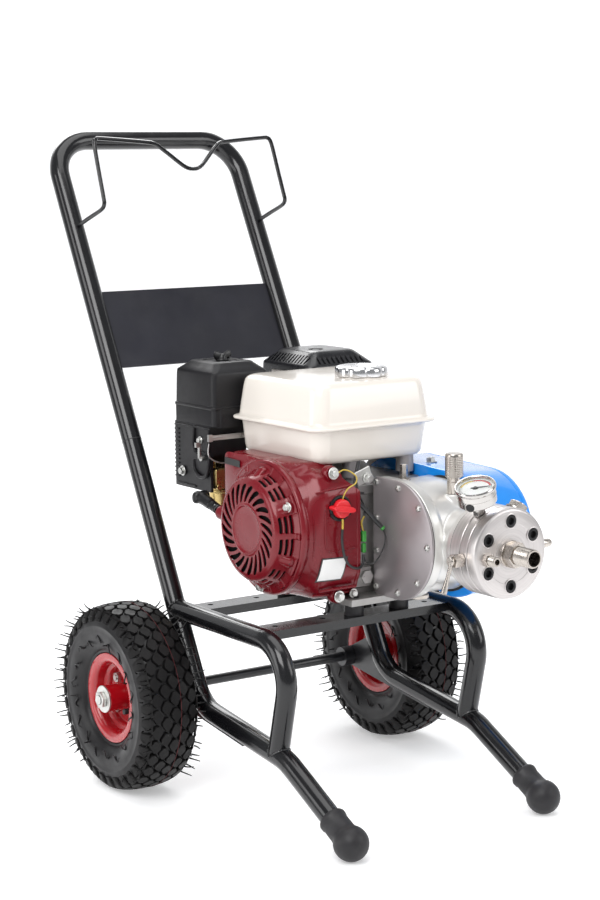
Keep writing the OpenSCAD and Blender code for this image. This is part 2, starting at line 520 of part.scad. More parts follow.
module place() { translate([0, y_off, 0]) children(); }
place() rail_left();
place() rail_right();
place() arm_left();
place() arm_right();
place() cross_rails();
place() axle_brackets();
place() axle();
place() handle();
place() hose_hook();
place() name_panel();
place() snap_button_left();
place() snap_button_right();
place() foot_left();
place() foot_right();
place() tyre_left();
place() tyre_right();
place() rim_left();
place() rim_right();
place() rim_bolts_left();
place() rim_bolts_right();
place() axle_nuts();
place() rubber_mounts();
place() crankcase();
place() crankshaft();
place() flywheel();
place() shroud();
place() recoil_cover();
place() rope_grip();
place() switch_knob();
place() cylinder_barrel();
place() cylinder_head();
place() carburettor();
place() air_base();
place() air_cover();
place() wing_nut();
place() choke_lever();
place() throttle_lever();
place() muffler();
place() muffler_guard();
place() tank();
place() tank_cap();
place() tank_posts();
place() dipstick();
place() wiring();
place() belt();
place() belt_guard();
place() pump_housing();
place() side_plate();
place() plate_screws();
place() pump_shaft();
place() pump_head();
place() head_screws();
place() gauge();
place() gauge_needle();
place() pressure_knob();
place() head_plugs();
place() drain_valve();
place() drain_lever();
place() inlet_fitting();
place() outlet_fitting();
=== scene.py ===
import bpy, bmesh, math
from math import sin, cos, pi, radians, sqrt, atan2, acos, hypot
from mathutils import Vector, Matrix
import random


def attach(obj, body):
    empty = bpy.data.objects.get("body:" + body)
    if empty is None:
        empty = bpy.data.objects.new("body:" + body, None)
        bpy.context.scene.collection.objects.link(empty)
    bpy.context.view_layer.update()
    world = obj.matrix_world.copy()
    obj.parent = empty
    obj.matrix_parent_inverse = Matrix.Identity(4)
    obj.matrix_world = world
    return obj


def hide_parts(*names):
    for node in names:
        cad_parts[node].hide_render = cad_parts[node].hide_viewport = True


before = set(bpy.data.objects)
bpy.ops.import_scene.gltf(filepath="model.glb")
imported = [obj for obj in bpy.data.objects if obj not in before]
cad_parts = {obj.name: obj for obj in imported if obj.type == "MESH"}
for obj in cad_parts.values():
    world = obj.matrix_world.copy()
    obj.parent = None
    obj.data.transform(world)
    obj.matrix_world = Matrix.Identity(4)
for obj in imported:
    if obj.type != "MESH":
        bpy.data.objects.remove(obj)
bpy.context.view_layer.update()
Y0 = 69.75          # design frame to row frame, mm
rnd = random.Random(7)

# ------------------------------------------------------------------ materials
MATS = {}
def nt_new(name):
    m = bpy.data.materials.new(name); m.use_nodes = True
    nt = m.node_tree; nt.nodes.clear()
    out = nt.nodes.new("ShaderNodeOutputMaterial"); b = nt.nodes.new("ShaderNodeBsdfPrincipled")
    nt.links.new(b.outputs[0], out.inputs[0]); MATS[name] = m
    return m, nt, b
def noise(nt, vec, scale, detail=5, rough=0.55):
    n = nt.nodes.new("ShaderNodeTexNoise"); n.inputs["Scale"].default_value = scale
    n.inputs["Detail"].default_value = detail; n.inputs["Roughness"].default_value = rough
    if vec: nt.links.new(vec, n.inputs["Vector"])
    return n
def ramp(nt, fac, stops):
    r = nt.nodes.new("ShaderNodeValToRGB"); e = r.color_ramp.elements
    e[0].position, e[0].color = stops[0][0], (*stops[0][1], 1)
    e[1].position, e[1].color = stops[-1][0], (*stops[-1][1], 1)
    for p, c in stops[1:-1]:
        k = e.new(p); k.color = (*c, 1)
    nt.links.new(fac, r.inputs[0]); return r
def mrange(nt, fac, a, b, lo=0.3, hi=0.7):
    r = nt.nodes.new("ShaderNodeMapRange"); r.inputs["From Min"].default_value = lo; r.inputs["From Max"].default_value = hi
    r.inputs["To Min"].default_value = a; r.inputs["To Max"].default_value = b
    nt.links.new(fac, r.inputs["Value"]); return r
def coords(nt, stretch=(1, 1, 1)):
    tc = nt.nodes.new("ShaderNodeTexCoord"); mp = nt.nodes.new("ShaderNodeMapping")
    mp.inputs["Scale"].default_value = stretch
    nt.links.new(tc.outputs["Object"], mp.inputs["Vector"]); return mp.outputs["Vector"]
def bump(nt, b, h, strength, dist, prev=None):
    n = nt.nodes.new("ShaderNodeBump"); n.inputs["Strength"].default_value = strength; n.inputs["Distance"].default_value = dist
    nt.links.new(h, n.inputs["Height"])
    if prev: nt.links.new(prev.outputs[0], n.inputs["Normal"])
    nt.links.new(n.outputs[0], b.inputs["Normal"]); return n
def mul(c, k): return tuple(max(0, min(1, x * k)) for x in c)
def MAT(name, base, rough=0.4, metal=0.0, coat=0.0, coat_rough=0.08, var=0.12, vs=14, rvar=0.08, bs=900, bump_s=0.15,
        bump_d=0.0002, stretch=(1, 1, 1), spec=0.5, dust=0.0, edge=0.0, edge_col=(0.5, 0.5, 0.5), big=0.0):
    m, nt, b = nt_new(name)
    v = coords(nt); vst = coords(nt, stretch)
    n1 = noise(nt, v, vs, 6)
    r1 = ramp(nt, n1.outputs["Fac"], [(0.3, mul(base, 1 - var)), (0.52, base), (0.72, mul(base, 1 + var))])
    col = r1.outputs[0]
    if dust > 0:
        n4 = noise(nt, v, vs * 3.1, 8, 0.7); f = mrange(nt, n4.outputs["Fac"], 0, dust, 0.5, 0.8)
        mx = nt.nodes.new("ShaderNodeMixRGB"); mx.inputs[2].default_value = (0.45, 0.42, 0.38, 1)
        nt.links.new(f.outputs[0], mx.inputs[0]); nt.links.new(col, mx.inputs[1]); col = mx.outputs[0]
    if edge > 0:
        g = nt.nodes.new("ShaderNodeNewGeometry")
        f = mrange(nt, g.outputs["Pointiness"], 0, edge, 0.52, 0.6)
        mx = nt.nodes.new("ShaderNodeMixRGB"); mx.inputs[2].default_value = (*edge_col, 1)
        nt.links.new(f.outputs[0], mx.inputs[0]); nt.links.new(col, mx.inputs[1]); col = mx.outputs[0]
    nt.links.new(col, b.inputs["Base Color"])
    n2 = noise(nt, v, vs * 2.3, 5)
    rr = mrange(nt, n2.outputs["Fac"], max(0.02, rough - rvar), min(1, rough + rvar))
    nt.links.new(rr.outputs[0], b.inputs["Roughness"])
    n3 = noise(nt, vst, bs, 3, 0.6)
    p = bump(nt, b, n3.outputs["Fac"], bump_s, bump_d)
    if big > 0:
        n5 = noise(nt, v, 22, 3); bump(nt, b, n5.outputs["Fac"], big, 0.002, p)
    b.inputs["Metallic"].default_value = metal
    b.inputs["Coat Weight"].default_value = coat; b.inputs["Coat Roughness"].default_value = coat_rough
    b.inputs["Specular IOR Level"].default_value = spec
    return m
def TURNED(name, base, centre, axis, rough=0.3, ring=2600, strength=0.25):
    """machined metal: fine rings round an axis through centre (row metres)"""
    m, nt, b = nt_new(name)
    tc = nt.nodes.new("ShaderNodeTexCoord")
    sub = nt.nodes.new("ShaderNodeVectorMath"); sub.operation = "SUBTRACT"; sub.inputs[1].default_value = centre
    nt.links.new(tc.outputs["Object"], sub.inputs[0])
    msk = nt.nodes.new("ShaderNodeVectorMath"); msk.operation = "MULTIPLY"
    msk.inputs[1].default_value = tuple(0 if i == axis else 1 for i in range(3)); nt.links.new(sub.outputs[0], msk.inputs[0])
    ln = nt.nodes.new("ShaderNodeVectorMath"); ln.operation = "LENGTH"; nt.links.new(msk.outputs[0], ln.inputs[0])
    sep = nt.nodes.new("ShaderNodeSeparateXYZ"); nt.links.new(sub.outputs[0], sep.inputs[0])
    cmb = nt.nodes.new("ShaderNodeCombineXYZ"); nt.links.new(ln.outputs["Value"], cmb.inputs[0]); nt.links.new(sep.outputs[axis], cmb.inputs[1])
    n = noise(nt, cmb.outputs[0], ring, 4, 0.6); bump(nt, b, n.outputs["Fac"], strength, 0.0002)
    n0 = noise(nt, tc.outputs["Object"], 9, 5); n9 = noise(nt, cmb.outputs[0], ring / 9, 3)
    mm = nt.nodes.new("ShaderNodeMath"); mm.operation = "ADD"; nt.links.new(n0.outputs["Fac"], mm.inputs[0]); nt.links.new(n9.outputs["Fac"], mm.inputs[1])
    r = ramp(nt, mm.outputs[0], [(0.75, mul(base, 0.86)), (1.0, base), (1.25, mul(base, 1.1))]) if False else ramp(nt, n9.outputs["Fac"], [(0.3, mul(base, 0.9)), (0.5, base), (0.7, mul(base, 1.07))])
    nt.links.new(r.outputs[0], b.inputs["Base Color"])
    q = mrange(nt, n0.outputs["Fac"], rough - 0.06, rough + 0.1); nt.links.new(q.outputs[0], b.inputs["Roughness"])
    b.inputs["Metallic"].default_value = 1.0; b.inputs["Anisotropic"].default_value = 0.35
    return m
def GLASS(name):
    m, nt, b = nt_new(name)
    b.inputs["Transmission Weight"].default_value = 1.0; b.inputs["IOR"].default_value = 1.25
    b.inputs["Base Color"].default_value = (0.97, 0.98, 0.98, 1)
    n = noise(nt, coords(nt), 30, 3); q = mrange(nt, n.outputs["Fac"], 0.01, 0.05); nt.links.new(q.outputs[0], b.inputs["Roughness"])
    return m

BLACK = MAT("frame_black", (0.004, 0.004, 0.005), 0.2, 0, 0.35, 0.08, var=0.25, rvar=0.05, bs=260, bump_s=0.05, dust=0.004, spec=0.4)
PANEL = MAT("panel_black", (0.012, 0.012, 0.018), 0.4, 0.0, 0.1, 0.3, var=0.3, vs=7, rvar=0.1, bs=700, bump_s=0.1, dust=0.012, spec=0.35)
BRKT = MAT("bracket_black", (0.01, 0.01, 0.012), 0.35, 0, 0.3, 0.15, var=0.2, bs=500, bump_s=0.15)
STEEL = MAT("axle_steel", (0.52, 0.51, 0.5), 0.32, 1.0, var=0.08, stretch=(1, 14, 14), bs=300, bump_s=0.12)
ZINC = MAT("zinc", (0.6, 0.6, 0.58), 0.34, 1.0, var=0.14, vs=60, bs=260, bump_s=0.06, edge=0.0)
RUBBER = MAT("rubber", (0.016, 0.015, 0.017), 0.5, 0, var=0.2, vs=30, bs=1100, bump_s=0.3, dust=0.02, spec=0.4)
TYRE = MAT("tyre", (0.0055, 0.005, 0.0052), 0.5, 0, var=0.3, vs=26, rvar=0.12, bs=700, bump_s=0.3, bump_d=0.0003, dust=0.006, spec=0.22)
TYRESIDE = MAT("tyre_side", (0.0065, 0.006, 0.0068), 0.4, 0, var=0.3, vs=18, rvar=0.1, bs=500, bump_s=0.18, dust=0.006, spec=0.32)
RIM = MAT("rim_red", (0.36, 0.003, 0.008), 0.25, 0.0, 0.45, 0.08, var=0.12, rvar=0.05, bs=300, bump_s=0.08)
CRIM = MAT("crimson", (0.17, 0.003, 0.009), 0.27, 0.1, 0.3, 0.07, var=0.14, rvar=0.06, bs=240, bump_s=0.1, vs=10, spec=0.32)
CAST = MAT("cast_alloy", (0.4, 0.39, 0.38), 0.45, 0.85, var=0.12, vs=30, bs=420, bump_s=0.6, bump_d=0.0004, dust=0.05)
IRON = MAT("cast_iron", (0.09, 0.09, 0.09), 0.6, 0.6, var=0.2, bs=420, bump_s=0.5, dust=0.05)
RED = MAT("switch_red", (0.68, 0.012, 0.02), 0.35, 0, 0.2, 0.2, var=0.08, bs=900, bump_s=0.12)
GOLD = MAT("gold", (0.62, 0.47, 0.2), 0.28, 1.0, var=0.2, vs=40, bs=600, bump_s=0.15)
PLAS = MAT("black_plastic", (0.007, 0.0065, 0.008), 0.42, 0, 0.0, var=0.2, vs=30, rvar=0.05, bs=1500, bump_s=0.3, bump_d=0.0002, spec=0.36)
PLAS2 = MAT("black_plastic_smooth", (0.006, 0.006, 0.007), 0.3, 0, 0.0, var=0.15, bs=1200, bump_s=0.12)
GUARDB = MAT("guard_black", (0.006, 0.006, 0.008), 0.28, 0.0, 0.2, 0.15, var=0.2, bs=800, bump_s=0.2)
MUFF = MAT("muffler_steel", (0.28, 0.26, 0.24), 0.42, 0.9, var=0.25, vs=24, bs=400, bump_s=0.3, dust=0.1)
IVORY = MAT("ivory", (0.74, 0.69, 0.63), 0.22, 0, 0.4, 0.06, var=0.02, vs=8, rvar=0.04, bs=120, bump_s=0.04)
CHROME = MAT("chrome", (0.66, 0.66, 0.67), 0.16, 1.0, var=0.04, bs=200, bump_s=0.06, rvar=0.04)
POST = MAT("post_grey", (0.3, 0.28, 0.285), 0.4, 0.3, 0.2, 0.2, var=0.1, bs=600, bump_s=0.2)
BLUE = MAT("blue", (0.012, 0.25, 0.78), 0.16, 0.0, 0.8, 0.04, var=0.06, vs=9, rvar=0.04, bs=140, bump_s=0.05)
SILVER = MAT("pump_silver", (0.7, 0.69, 0.67), 0.36, 0.7, 0.2, 0.2, var=0.05, vs=12, rvar=0.08, bs=500, bump_s=0.25, bump_d=0.0002)
PLATE = MAT("plate_grey", (0.4, 0.365, 0.375), 0.36, 0.7, var=0.1, vs=8, rvar=0.08, stretch=(1, 1, 30), bs=160, bump_s=0.1)
ROW = lambda x, y, z: (x / 1000, (y + Y0) / 1000, z / 1000)
HEAD = TURNED("machined", (0.6, 0.57, 0.56), ROW(105, -400, 356), 1, 0.33)
OXIDE = MAT("black_oxide", (0.015, 0.015, 0.016), 0.35, 0.4, var=0.2, bs=900, bump_s=0.2)
STAIN = MAT("stainless", (0.55, 0.53, 0.51), 0.17, 1.0, var=0.06, bs=300, bump_s=0.08)
NICKEL = MAT("nickel", (0.5, 0.46, 0.42), 0.26, 1.0, var=0.12, vs=40, bs=240, bump_s=0.05)
WHITE = MAT("label_white", (0.8, 0.8, 0.79), 0.4, 0, var=0.03, bs=500, bump_s=0.05)
DIAL = MAT("dial_white", (0.86, 0.86, 0.84), 0.45, 0, var=0.02, bs=800, bump_s=0.05)
INK = MAT("ink", (0.02, 0.02, 0.02), 0.5, 0, var=0.1)
INKR = MAT("ink_red", (0.7, 0.03, 0.03), 0.5, 0, var=0.05)
INKY = MAT("ink_yellow", (0.85, 0.6, 0.05), 0.5, 0, var=0.05)
GREEN = MAT("connector_green", (0.04, 0.26, 0.04), 0.35, 0, 0.1, 0.2, var=0.15, vs=60, bs=700, bump_s=0.2)
WIREB = MAT("wire_black", (0.02, 0.02, 0.021), 0.4, 0, var=0.15, bs=900, bump_s=0.15)
WIREY = MAT("wire_yellow", (0.5, 0.36, 0.05), 0.4, 0, var=0.2, vs=80, bs=900, bump_s=0.1)
# black gasket rubber and dark joint rings; also painted shade for the inlet bore and the recoil boss holes
GASKET_AND_SHADE = MAT("gasket_black_and_painted_shade", (0.015, 0.015, 0.016), 0.6, 0, var=0.1, bs=900, bump_s=0.2)
GLS = GLASS("gauge_glass")
TLINE = MAT("marking_line", (0.09, 0.01, 0.012), 0.6, 0, var=0.3, vs=90)
# near-black and matte: painted shade for the inside of the recoil cover, seen through its slots
PAINTED_SHADE_DARK = MAT("painted_shade_inside", (0.004, 0.004, 0.004), 0.8, 0, var=0.3, spec=0.1)

# ------------------------------------------------------------------ mesh building (design mm)
def unit(v): return v.normalized()
def frame_of(d):
    d = Vector(d).normalized(); a = Vector((0, 0, 1)) if abs(d.z) < 0.9 else Vector((1, 0, 0))
    u = a.cross(d).normalized(); w = d.cross(u).normalized()
    return u, w, d
class B:
    def __init__(s): s.v = []; s.f = []; s.m = []
    def add(s, vs, fs, mi=0):
        o = len(s.v); s.v += [Vector(p) for p in vs]; s.f += [[i + o for i in f] for f in fs]; s.m += [mi] * len(fs)
    def lathe(s, prof, o, d, n=64, mi=0, closed=True, rfun=None, ph=0.0):
        """prof [(r,t)...] round axis d from o; closed joins last to first"""
        u, w, d = frame_of(d); o = Vector(o); vs = []; k = len(prof)
        for i in range(n):
            a = 2 * pi * i / n + ph
            for (r, t) in prof:
                rr = r * (rfun(a, r, t) if rfun else 1)
                vs.append(o + d * t + (u * cos(a) + w * sin(a)) * rr)
        fs = []
        for i in range(n):
            j = (i + 1) % n
            for q in range(k if closed else k - 1):
                p = (q + 1) % k
                fs.append([i * k + q, j * k + q, j * k + p, i * k + p])
        if not closed:
            fs.append([i * k for i in range(n)][::-1]); fs.append([i * k + k - 1 for i in range(n)])
        s.add(vs, fs, mi)
    def cyl(s, a, b, r, n=32, mi=0, r2=None, bev=0.0):
        a = Vector(a); b = Vector(b); L = (b - a).length; r2 = r if r2 is None else r2
        if bev: prof = [(r - bev, 0), (r, bev), (r2, L - bev), (r2 - bev, L)]
        else: prof = [(r, 0), (r2, L)]
        s.lathe(prof, a, b - a, n, mi, closed=False)
    def tube(s, pts, r, n=12, mi=0, cap=True, closed=False):
        P = [Vector(p) for p in pts]; m = len(P); vs = []
        t0 = (P[1] - P[0]).normalized(); u = frame_of(t0)[0]; pt = t0
        for i in range(m):
            t = (P[min(i + 1, m - 1)] - P[max(i - 1, 0)]).normalized()
            u = (u - t * u.dot(t)).normalized(); w = t.cross(u)
            rr = r[i] if isinstance(r, (list, tuple)) else r
            for j in range(n):
                a = 2 * pi * j / n; vs.append(P[i] + (u * cos(a) + w * sin(a)) * rr)
        fs = [[i * n + j, i * n + (j + 1) % n, (i + 1) * n + (j + 1) % n, (i + 1) * n + j] for i in range(m - 1) for j in range(n)]
        if cap: fs.append([j for j in range(n)][::-1]); fs.append([(m - 1) * n + j for j in range(n)])
        s.add(vs, fs, mi)
    def rings(s, rs, mi=0, caps=(True, True)):
        """loft: list of equal-length closed rings"""
        n = len(rs[0]); vs = [p for r in rs for p in r]; fs = []
        for i in range(len(rs) - 1):
            for j in range(n):
                fs.append([i * n + j, i * n + (j + 1) % n, (i + 1) * n + (j + 1) % n, (i + 1) * n + j])
        if caps[0]: fs.append(list(range(n))[::-1])
        if caps[1]: fs.append([(len(rs) - 1) * n + j for j in range(n)])
        s.add(vs, fs, mi)
    def box(s, c, size, R=None, mi=0, ch=0.0):
        x, y, z = [q / 2 for q in size]; c = Vector(c)
        if ch:
            rs = []
            for (zz, k) in ((-z, ch), (-z + ch, 0), (z - ch, 0), (z, ch)):
                q = [(-x + k + ch, -y + k), (x - k - ch, -y + k), (x - k, -y + k + ch), (x - k, y - k - ch), (x - k - ch, y - k), (-x + k + ch, y - k), (-x + k, y - k - ch), (-x + k, -y + k + ch)]
                rs.append([Vector((a, b, zz)) for a, b in q])
            rs = [[c + (R @ p if R else p) for p in r] for r in rs]; s.rings(rs, mi); return
        vs = [Vector((a * x, b * y, e * z)) for e in (-1, 1) for b in (-1, 1) for a in (-1, 1)]
        vs = [c + (R @ p if R else p) for p in vs]
        s.add(vs, [[0, 2, 3, 1], [4, 5, 7, 6], [0, 1, 5, 4], [2, 6, 7, 3], [0, 4, 6, 2], [1, 3, 7, 5]], mi)
    def hexn(s, o, d, af, h, mi=0, bore=0.0, ph=0.0, ch=0.8):
        r = af / sqrt(3); pr = [(r - ch, 0), (r, ch * .6), (r, h - ch * .6), (r - ch, h)]
        if bore: pr = [(bore, 0)] + pr + [(bore, h)]
        s.lathe(pr, o, d, 6, mi, closed=bool(bore), ph=ph)
    def bolt(s, o, d, af, mi=0, washer=True, r=None):
        """hex head with washer and domed thread end; o on the surface, d outwards"""
        o = Vector(o); dd = Vector(d).normalized(); h = af * 0.5; t = 0
        if washer: s.lathe([(0.1, 0), (af * 0.78, 0), (af * 0.82, 0.4), (af * 0.82, 1.2), (af * 0.78, 1.6), (0.1, 1.6)], o, dd, 32, mi, closed=False); t = 1.6
        s.hexn(o + dd * t, dd, af, h, mi, ph=rnd.random())
        s.lathe([(af * 0.42, h - 0.1), (af * 0.38, h + 0.5), (0.1, h + 0.5)], o + dd * t, dd, 24, mi, closed=False)
def V(p): return Vector((p[0] / 1000, (p[1] + Y0) / 1000, p[2] / 1000))
def finish_mesh(me, smooth):
    bm = bmesh.new(); bm.from_mesh(me)
    bmesh.ops.remove_doubles(bm, verts=bm.verts, dist=1e-7)
    bmesh.ops.recalc_face_normals(bm, faces=bm.faces)
    for f in bm.faces: f.smooth = True
    th = radians(smooth)
    for e in bm.edges: e.smooth = e.is_manifold and e.calc_face_angle(pi) < th
    bm.to_mesh(me); bm.free()
def make(b, name, mats, body="cart", rep=(), smooth=35, bevel=0.0, seg=2, cuts=None, ang=40):
    me = bpy.data.meshes.new(name)
    me.from_pydata([V(p) for p in b.v], [], b.f)
    mats = mats if isinstance(mats, (list, tuple)) else [mats]
    for m in mats: me.materials.append(m)
    me.polygons.foreach_set("material_index", b.m)
    finish_mesh(me, smooth)
    o = bpy.data.objects.new(name, me); bpy.context.scene.collection.objects.link(o)
    if cuts is not None and cuts.v:
        cm = bpy.data.meshes.new("cut"); cm.from_pydata([V(p) for p in cuts.v], [], cuts.f)
        finish_mesh(cm, 30); co = bpy.data.objects.new("cut_tmp", cm); bpy.context.scene.collection.objects.link(co)
        md = o.modifiers.new("b", "BOOLEAN"); md.object = co; md.operation = "DIFFERENCE"; md.solver = "EXACT"; md.use_self = True
        dg = bpy.context.evaluated_depsgraph_get(); nm = bpy.data.meshes.new_from_object(o.evaluated_get(dg))
        o.modifiers.clear(); o.data = nm; bpy.data.objects.remove(co)
        bm = bmesh.new(); bm.from_mesh(nm)
        bmesh.ops.dissolve_limit(bm, angle_limit=0.002, verts=bm.verts, edges=bm.edges, delimit={"MATERIAL"})
        bm.to_mesh(nm); bm.free(); finish_mesh(nm, smooth)
    if bevel:
        md = o.modifiers.new("bevel", "BEVEL"); md.width = bevel / 1000; md.segments = seg; md.limit_method = "ANGLE"; md.angle_limit = radians(ang)
        md.harden_normals = False; md.use_clamp_overlap = True; md.miter_outer = "MITER_ARC"
        wn = o.modifiers.new("wn", "WEIGHTED_NORMAL"); wn.keep_sharp = True
    if rep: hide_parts(*rep)
    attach(o, body)
    return o
def arc(cx, cy, r, a0, a1, n):
    return [(cx + r * cos(radians(a0 + (a1 - a0) * i / n)), cy + r * sin(radians(a0 + (a1 - a0) * i / n))) for i in range(n + 1)]
def rrect(w, h, r, n=8, cx=0, cy=0, crown=0.0):
    p = []
    for (sx, sy, a) in ((1, 1, 0), (-1, 1, 90), (-1, -1, 180), (1, -1, 270)):
        p += arc(cx + sx * (w / 2 - r), cy + sy * (h / 2 - r), r, a, a + 90, n)
    if crown:
        q = []
        for (x, y) in p:
            dx, dy = (x - cx) / (w / 2), (y - cy) / (h / 2)
            q.append((x + crown * (1 - dy * dy) * (1 if dx > 0 else -1) * abs(dx), y + crown * (1 - dx * dx) * (1 if dy > 0 else -1) * abs(dy)))
        p = q
    return p
def dens(p, n):
    """subdivide the long edges of a closed outline so lofts keep their shape"""
    out = []
    for i in range(len(p)):
        a, b = p[i], p[(i + 1) % len(p)]; out.append(a)
        k = int(hypot(b[0] - a[0], b[1] - a[1]) // n)
        for j in range(1, k + 1): out.append((a[0] + (b[0] - a[0]) * j / (k + 1), a[1] + (b[1] - a[1]) * j / (k + 1)))
    return out
def catmull(P, n):
    P = [Vector(p) for p in P]; out = []; m = len(P) - 1
    for i in range(n):
        s = min(m - 1e-6, m * i / (n - 1)); k = int(s); f = s - k
        a, b, c, d = P[max(0, k - 1)], P[k], P[k + 1], P[min(m, k + 2)]
        out.append(0.5 * ((2 * b) + (c - a) * f + (2 * a - 5 * b + 4 * c - d) * f * f + (3 * b - a - 3 * c + d) * f ** 3))
    return out
def loop_pts(a, ra, b, rb, n=30):
    v = (b[0] - a[0], b[1] - a[1]); L = hypot(*v); g = acos((ra - rb) / L); f = atan2(v[1], v[0])
    p = []
    for i in range(n + 1):
        t = f + g + (2 * pi - 2 * g) * i / n; p.append((a[0] + ra * cos(t), a[1] + ra * sin(t)))
    for i in range(n + 1):
        t = f - g + 2 * g * i / n; p.append((b[0] + rb * cos(t), b[1] + rb * sin(t)))
    return p
def yz(p, x): return [Vector((x, a, b)) for a, b in p]
def xy(p, z): return [Vector((a, b, z)) for a, b in p]

CR = (-140, 371); PA = (-263, 357); PX = 105; HZ = 356
# ------------------------------------------------------------------ CAD node materials
NM = {"rail_left": BLACK, "rail_right": BLACK, "arm_left": BLACK, "arm_right": BLACK, "cross_rails": BLACK, "axle_brackets": BRKT, "handle": BLACK,
      "hose_hook": BLACK, "name_panel": PANEL, "axle": BRKT, "crankshaft": STEEL, "pump_shaft": STEEL, "snap_button_left": ZINC, "snap_button_right": ZINC,
      "rim_bolts_left": ZINC, "rim_bolts_right": ZINC, "axle_nuts": ZINC, "dipstick": ZINC, "choke_lever": ZINC, "throttle_lever": STEEL, "foot_left": RUBBER,
      "foot_right": RUBBER, "rubber_mounts": RUBBER, "rope_grip": PLAS2, "belt": RUBBER, "wiring": WIREB, "tyre_left": TYRE, "tyre_right": TYRE, "rim_left": RIM,
      "rim_right": RIM, "shroud": CRIM, "recoil_cover": CRIM, "crankcase": CAST, "cylinder_barrel": CAST, "cylinder_head": CAST, "flywheel": IRON,
      "switch_knob": RED, "carburettor": GOLD, "air_base": PLAS, "air_cover": PLAS, "wing_nut": PLAS2, "muffler_guard": GUARDB, "muffler": MUFF, "tank": IVORY,
      "tank_cap": CHROME, "tank_posts": POST, "belt_guard": BLUE, "pump_housing": SILVER, "side_plate": PLATE, "plate_screws": ZINC, "pump_head": HEAD,
      "head_screws": OXIDE, "gauge_needle": INK, "gauge": STAIN, "pressure_knob": NICKEL, "head_plugs": NICKEL, "drain_valve": NICKEL, "drain_lever": NICKEL,
      "inlet_fitting": NICKEL, "outlet_fitting": NICKEL}
for n, m in NM.items():
    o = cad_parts[n]
    if not o.material_slots: o.data.materials.append(m)
    for s in o.material_slots: s.material = m

